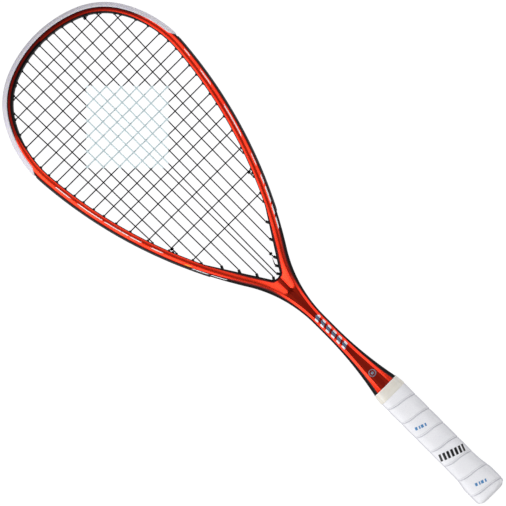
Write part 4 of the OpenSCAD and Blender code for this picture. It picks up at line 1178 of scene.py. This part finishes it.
def neck_bar(y, length, x_from, x_to, slant):
    """A slanted bar across the neck, laid over its flat and its two bevels."""
    xs = np.linspace(x_from, x_to, 15)
    ys = y + np.linspace(-length / 2, length / 2, 5)[:, None] + slant * xs[None, :]
    z = np.array([[neck_height(x, yy) for x, yy in zip(xs, row)] for row in ys]) + TRANSFER_T
    return np.stack(np.broadcast_arrays(xs, ys, z), -1)


bar_ys = np.arange(6) * 8.0 + 222.5
white_bars = [neck_bar(y, 4.6, x, x + 1.9, 0.35) for y in bar_ys for x in (-3.6, 1.7)]
blue_bars = [neck_bar(y + 0.4, 5.4, -1.2, 1.2, 0.75) for y in bar_ys]
transfers("neck_bars_white", white_bars, white_ink)
transfers("neck_bars_blue", blue_bars, ink("slate", "#54728F", "#486480"))

# A plain spot above the collar: a ring with a dot in it
SPOT_Y, SPOT_R, DOT_R, SPOT_DOWN = 181.0, 4.1, 1.7, 0.5  # it reaches down through the paint
ring_angle = np.linspace(0, 2 * math.pi, 60, endpoint=False)
spot_inner, spot_top = SPOT_R - 0.9, half_depth(SPOT_Y) + 0.12
spot_profiles = (  # distance from its middle and height, round the ring's section and the dot's
    ((spot_inner, 0), (SPOT_R, 0), (SPOT_R, -SPOT_DOWN), (spot_inner, -SPOT_DOWN), (spot_inner, 0)),
    ((0, 0), (DOT_R, 0), (DOT_R, -SPOT_DOWN), (0, -SPOT_DOWN)),
)
spot_parts = []
for profile in spot_profiles:
    radii, heights = np.array(profile, float).T[..., None]
    xy = np.stack((radii * np.cos(ring_angle), SPOT_Y + radii * np.sin(ring_angle)), -1)
    spot_points = solid_points(xy, spot_top + heights + 0 * ring_angle)
    spot_parts.append((spot_points, ring_faces(*spot_points.shape[:2])))
steel_ink = ink("steel", "#7E8796", "#6C7584")
make_piece("shaft_spot", *join_parts(spot_parts), steel_ink, "frame_paint", weld=0.001)

# The grip's front as a height map, on lines across the handle a third of a millimetre apart
WIND_FALL = 0.36  # how far the wind falls for each millimetre to the right
front_x = np.linspace(-15.4, 15.4, 93)
front = grip_outer[:, 1 : ROUND_STEPS // 2][:, ::-1]
front_z = np.stack([np.interp(front_x, row[:, 0], row[:, 2]) for row in front])


def grip_patch(x, y, wide, tall, lean=0.35):
    """A parallelogram printed on the grip's front: its sides lean with height, and its foot
    and head run along the wind."""
    up = np.linspace(-0.5, 0.5, 9)[:, None] * tall
    xs = x + np.linspace(-0.5, 0.5, 11)[None, :] * wide + lean * up
    ys = y - WIND_FALL * (xs - x) + up
    row = (ys - grip_ys[8]) / (grip_ys[9] - grip_ys[8]) + 8
    col = (xs - front_x[0]) / (front_x[1] - front_x[0])
    r, c = row.astype(int), col.astype(int)
    below_z, above_z = [front_z[i, c] * (1 - col % 1) + front_z[i, c + 1] * (col % 1) for i in (r, r + 1)]
    z = below_z * (1 - row % 1) + above_z * (row % 1)
    return np.stack((xs, ys, z + 0.09), -1)


dash_places = ((-3.2, 104.6), (0.2, 18.6))
dash_widths = ((-5.6, 2.4), (-2.0, 1.4), (0.9, 2.6), (4.6, 1.5))
grip_dashes = [grip_patch(x + dx, y - WIND_FALL * dx, wide, 3.6) for x, y in dash_places
               for dx, wide in dash_widths]
transfers("grip_dashes", grip_dashes, ink("sky", "#4F8FC6", "#4582B6"), "grip", 0.2)
bar_widths = ((-12.3, 2.3), (-8.1, 2.6), (-3.9, 2.6), (0.4, 2.6), (4.7, 2.6), (8.8, 2.4), (12.4, 2.0))
grip_bars = [grip_patch(x, 62.0 - WIND_FALL * x, wide, 8.4) for x, wide in bar_widths]
transfers("grip_bars", grip_bars, ink("black", "#0E0E10", "#1A1A1C"), "grip", 0.2)
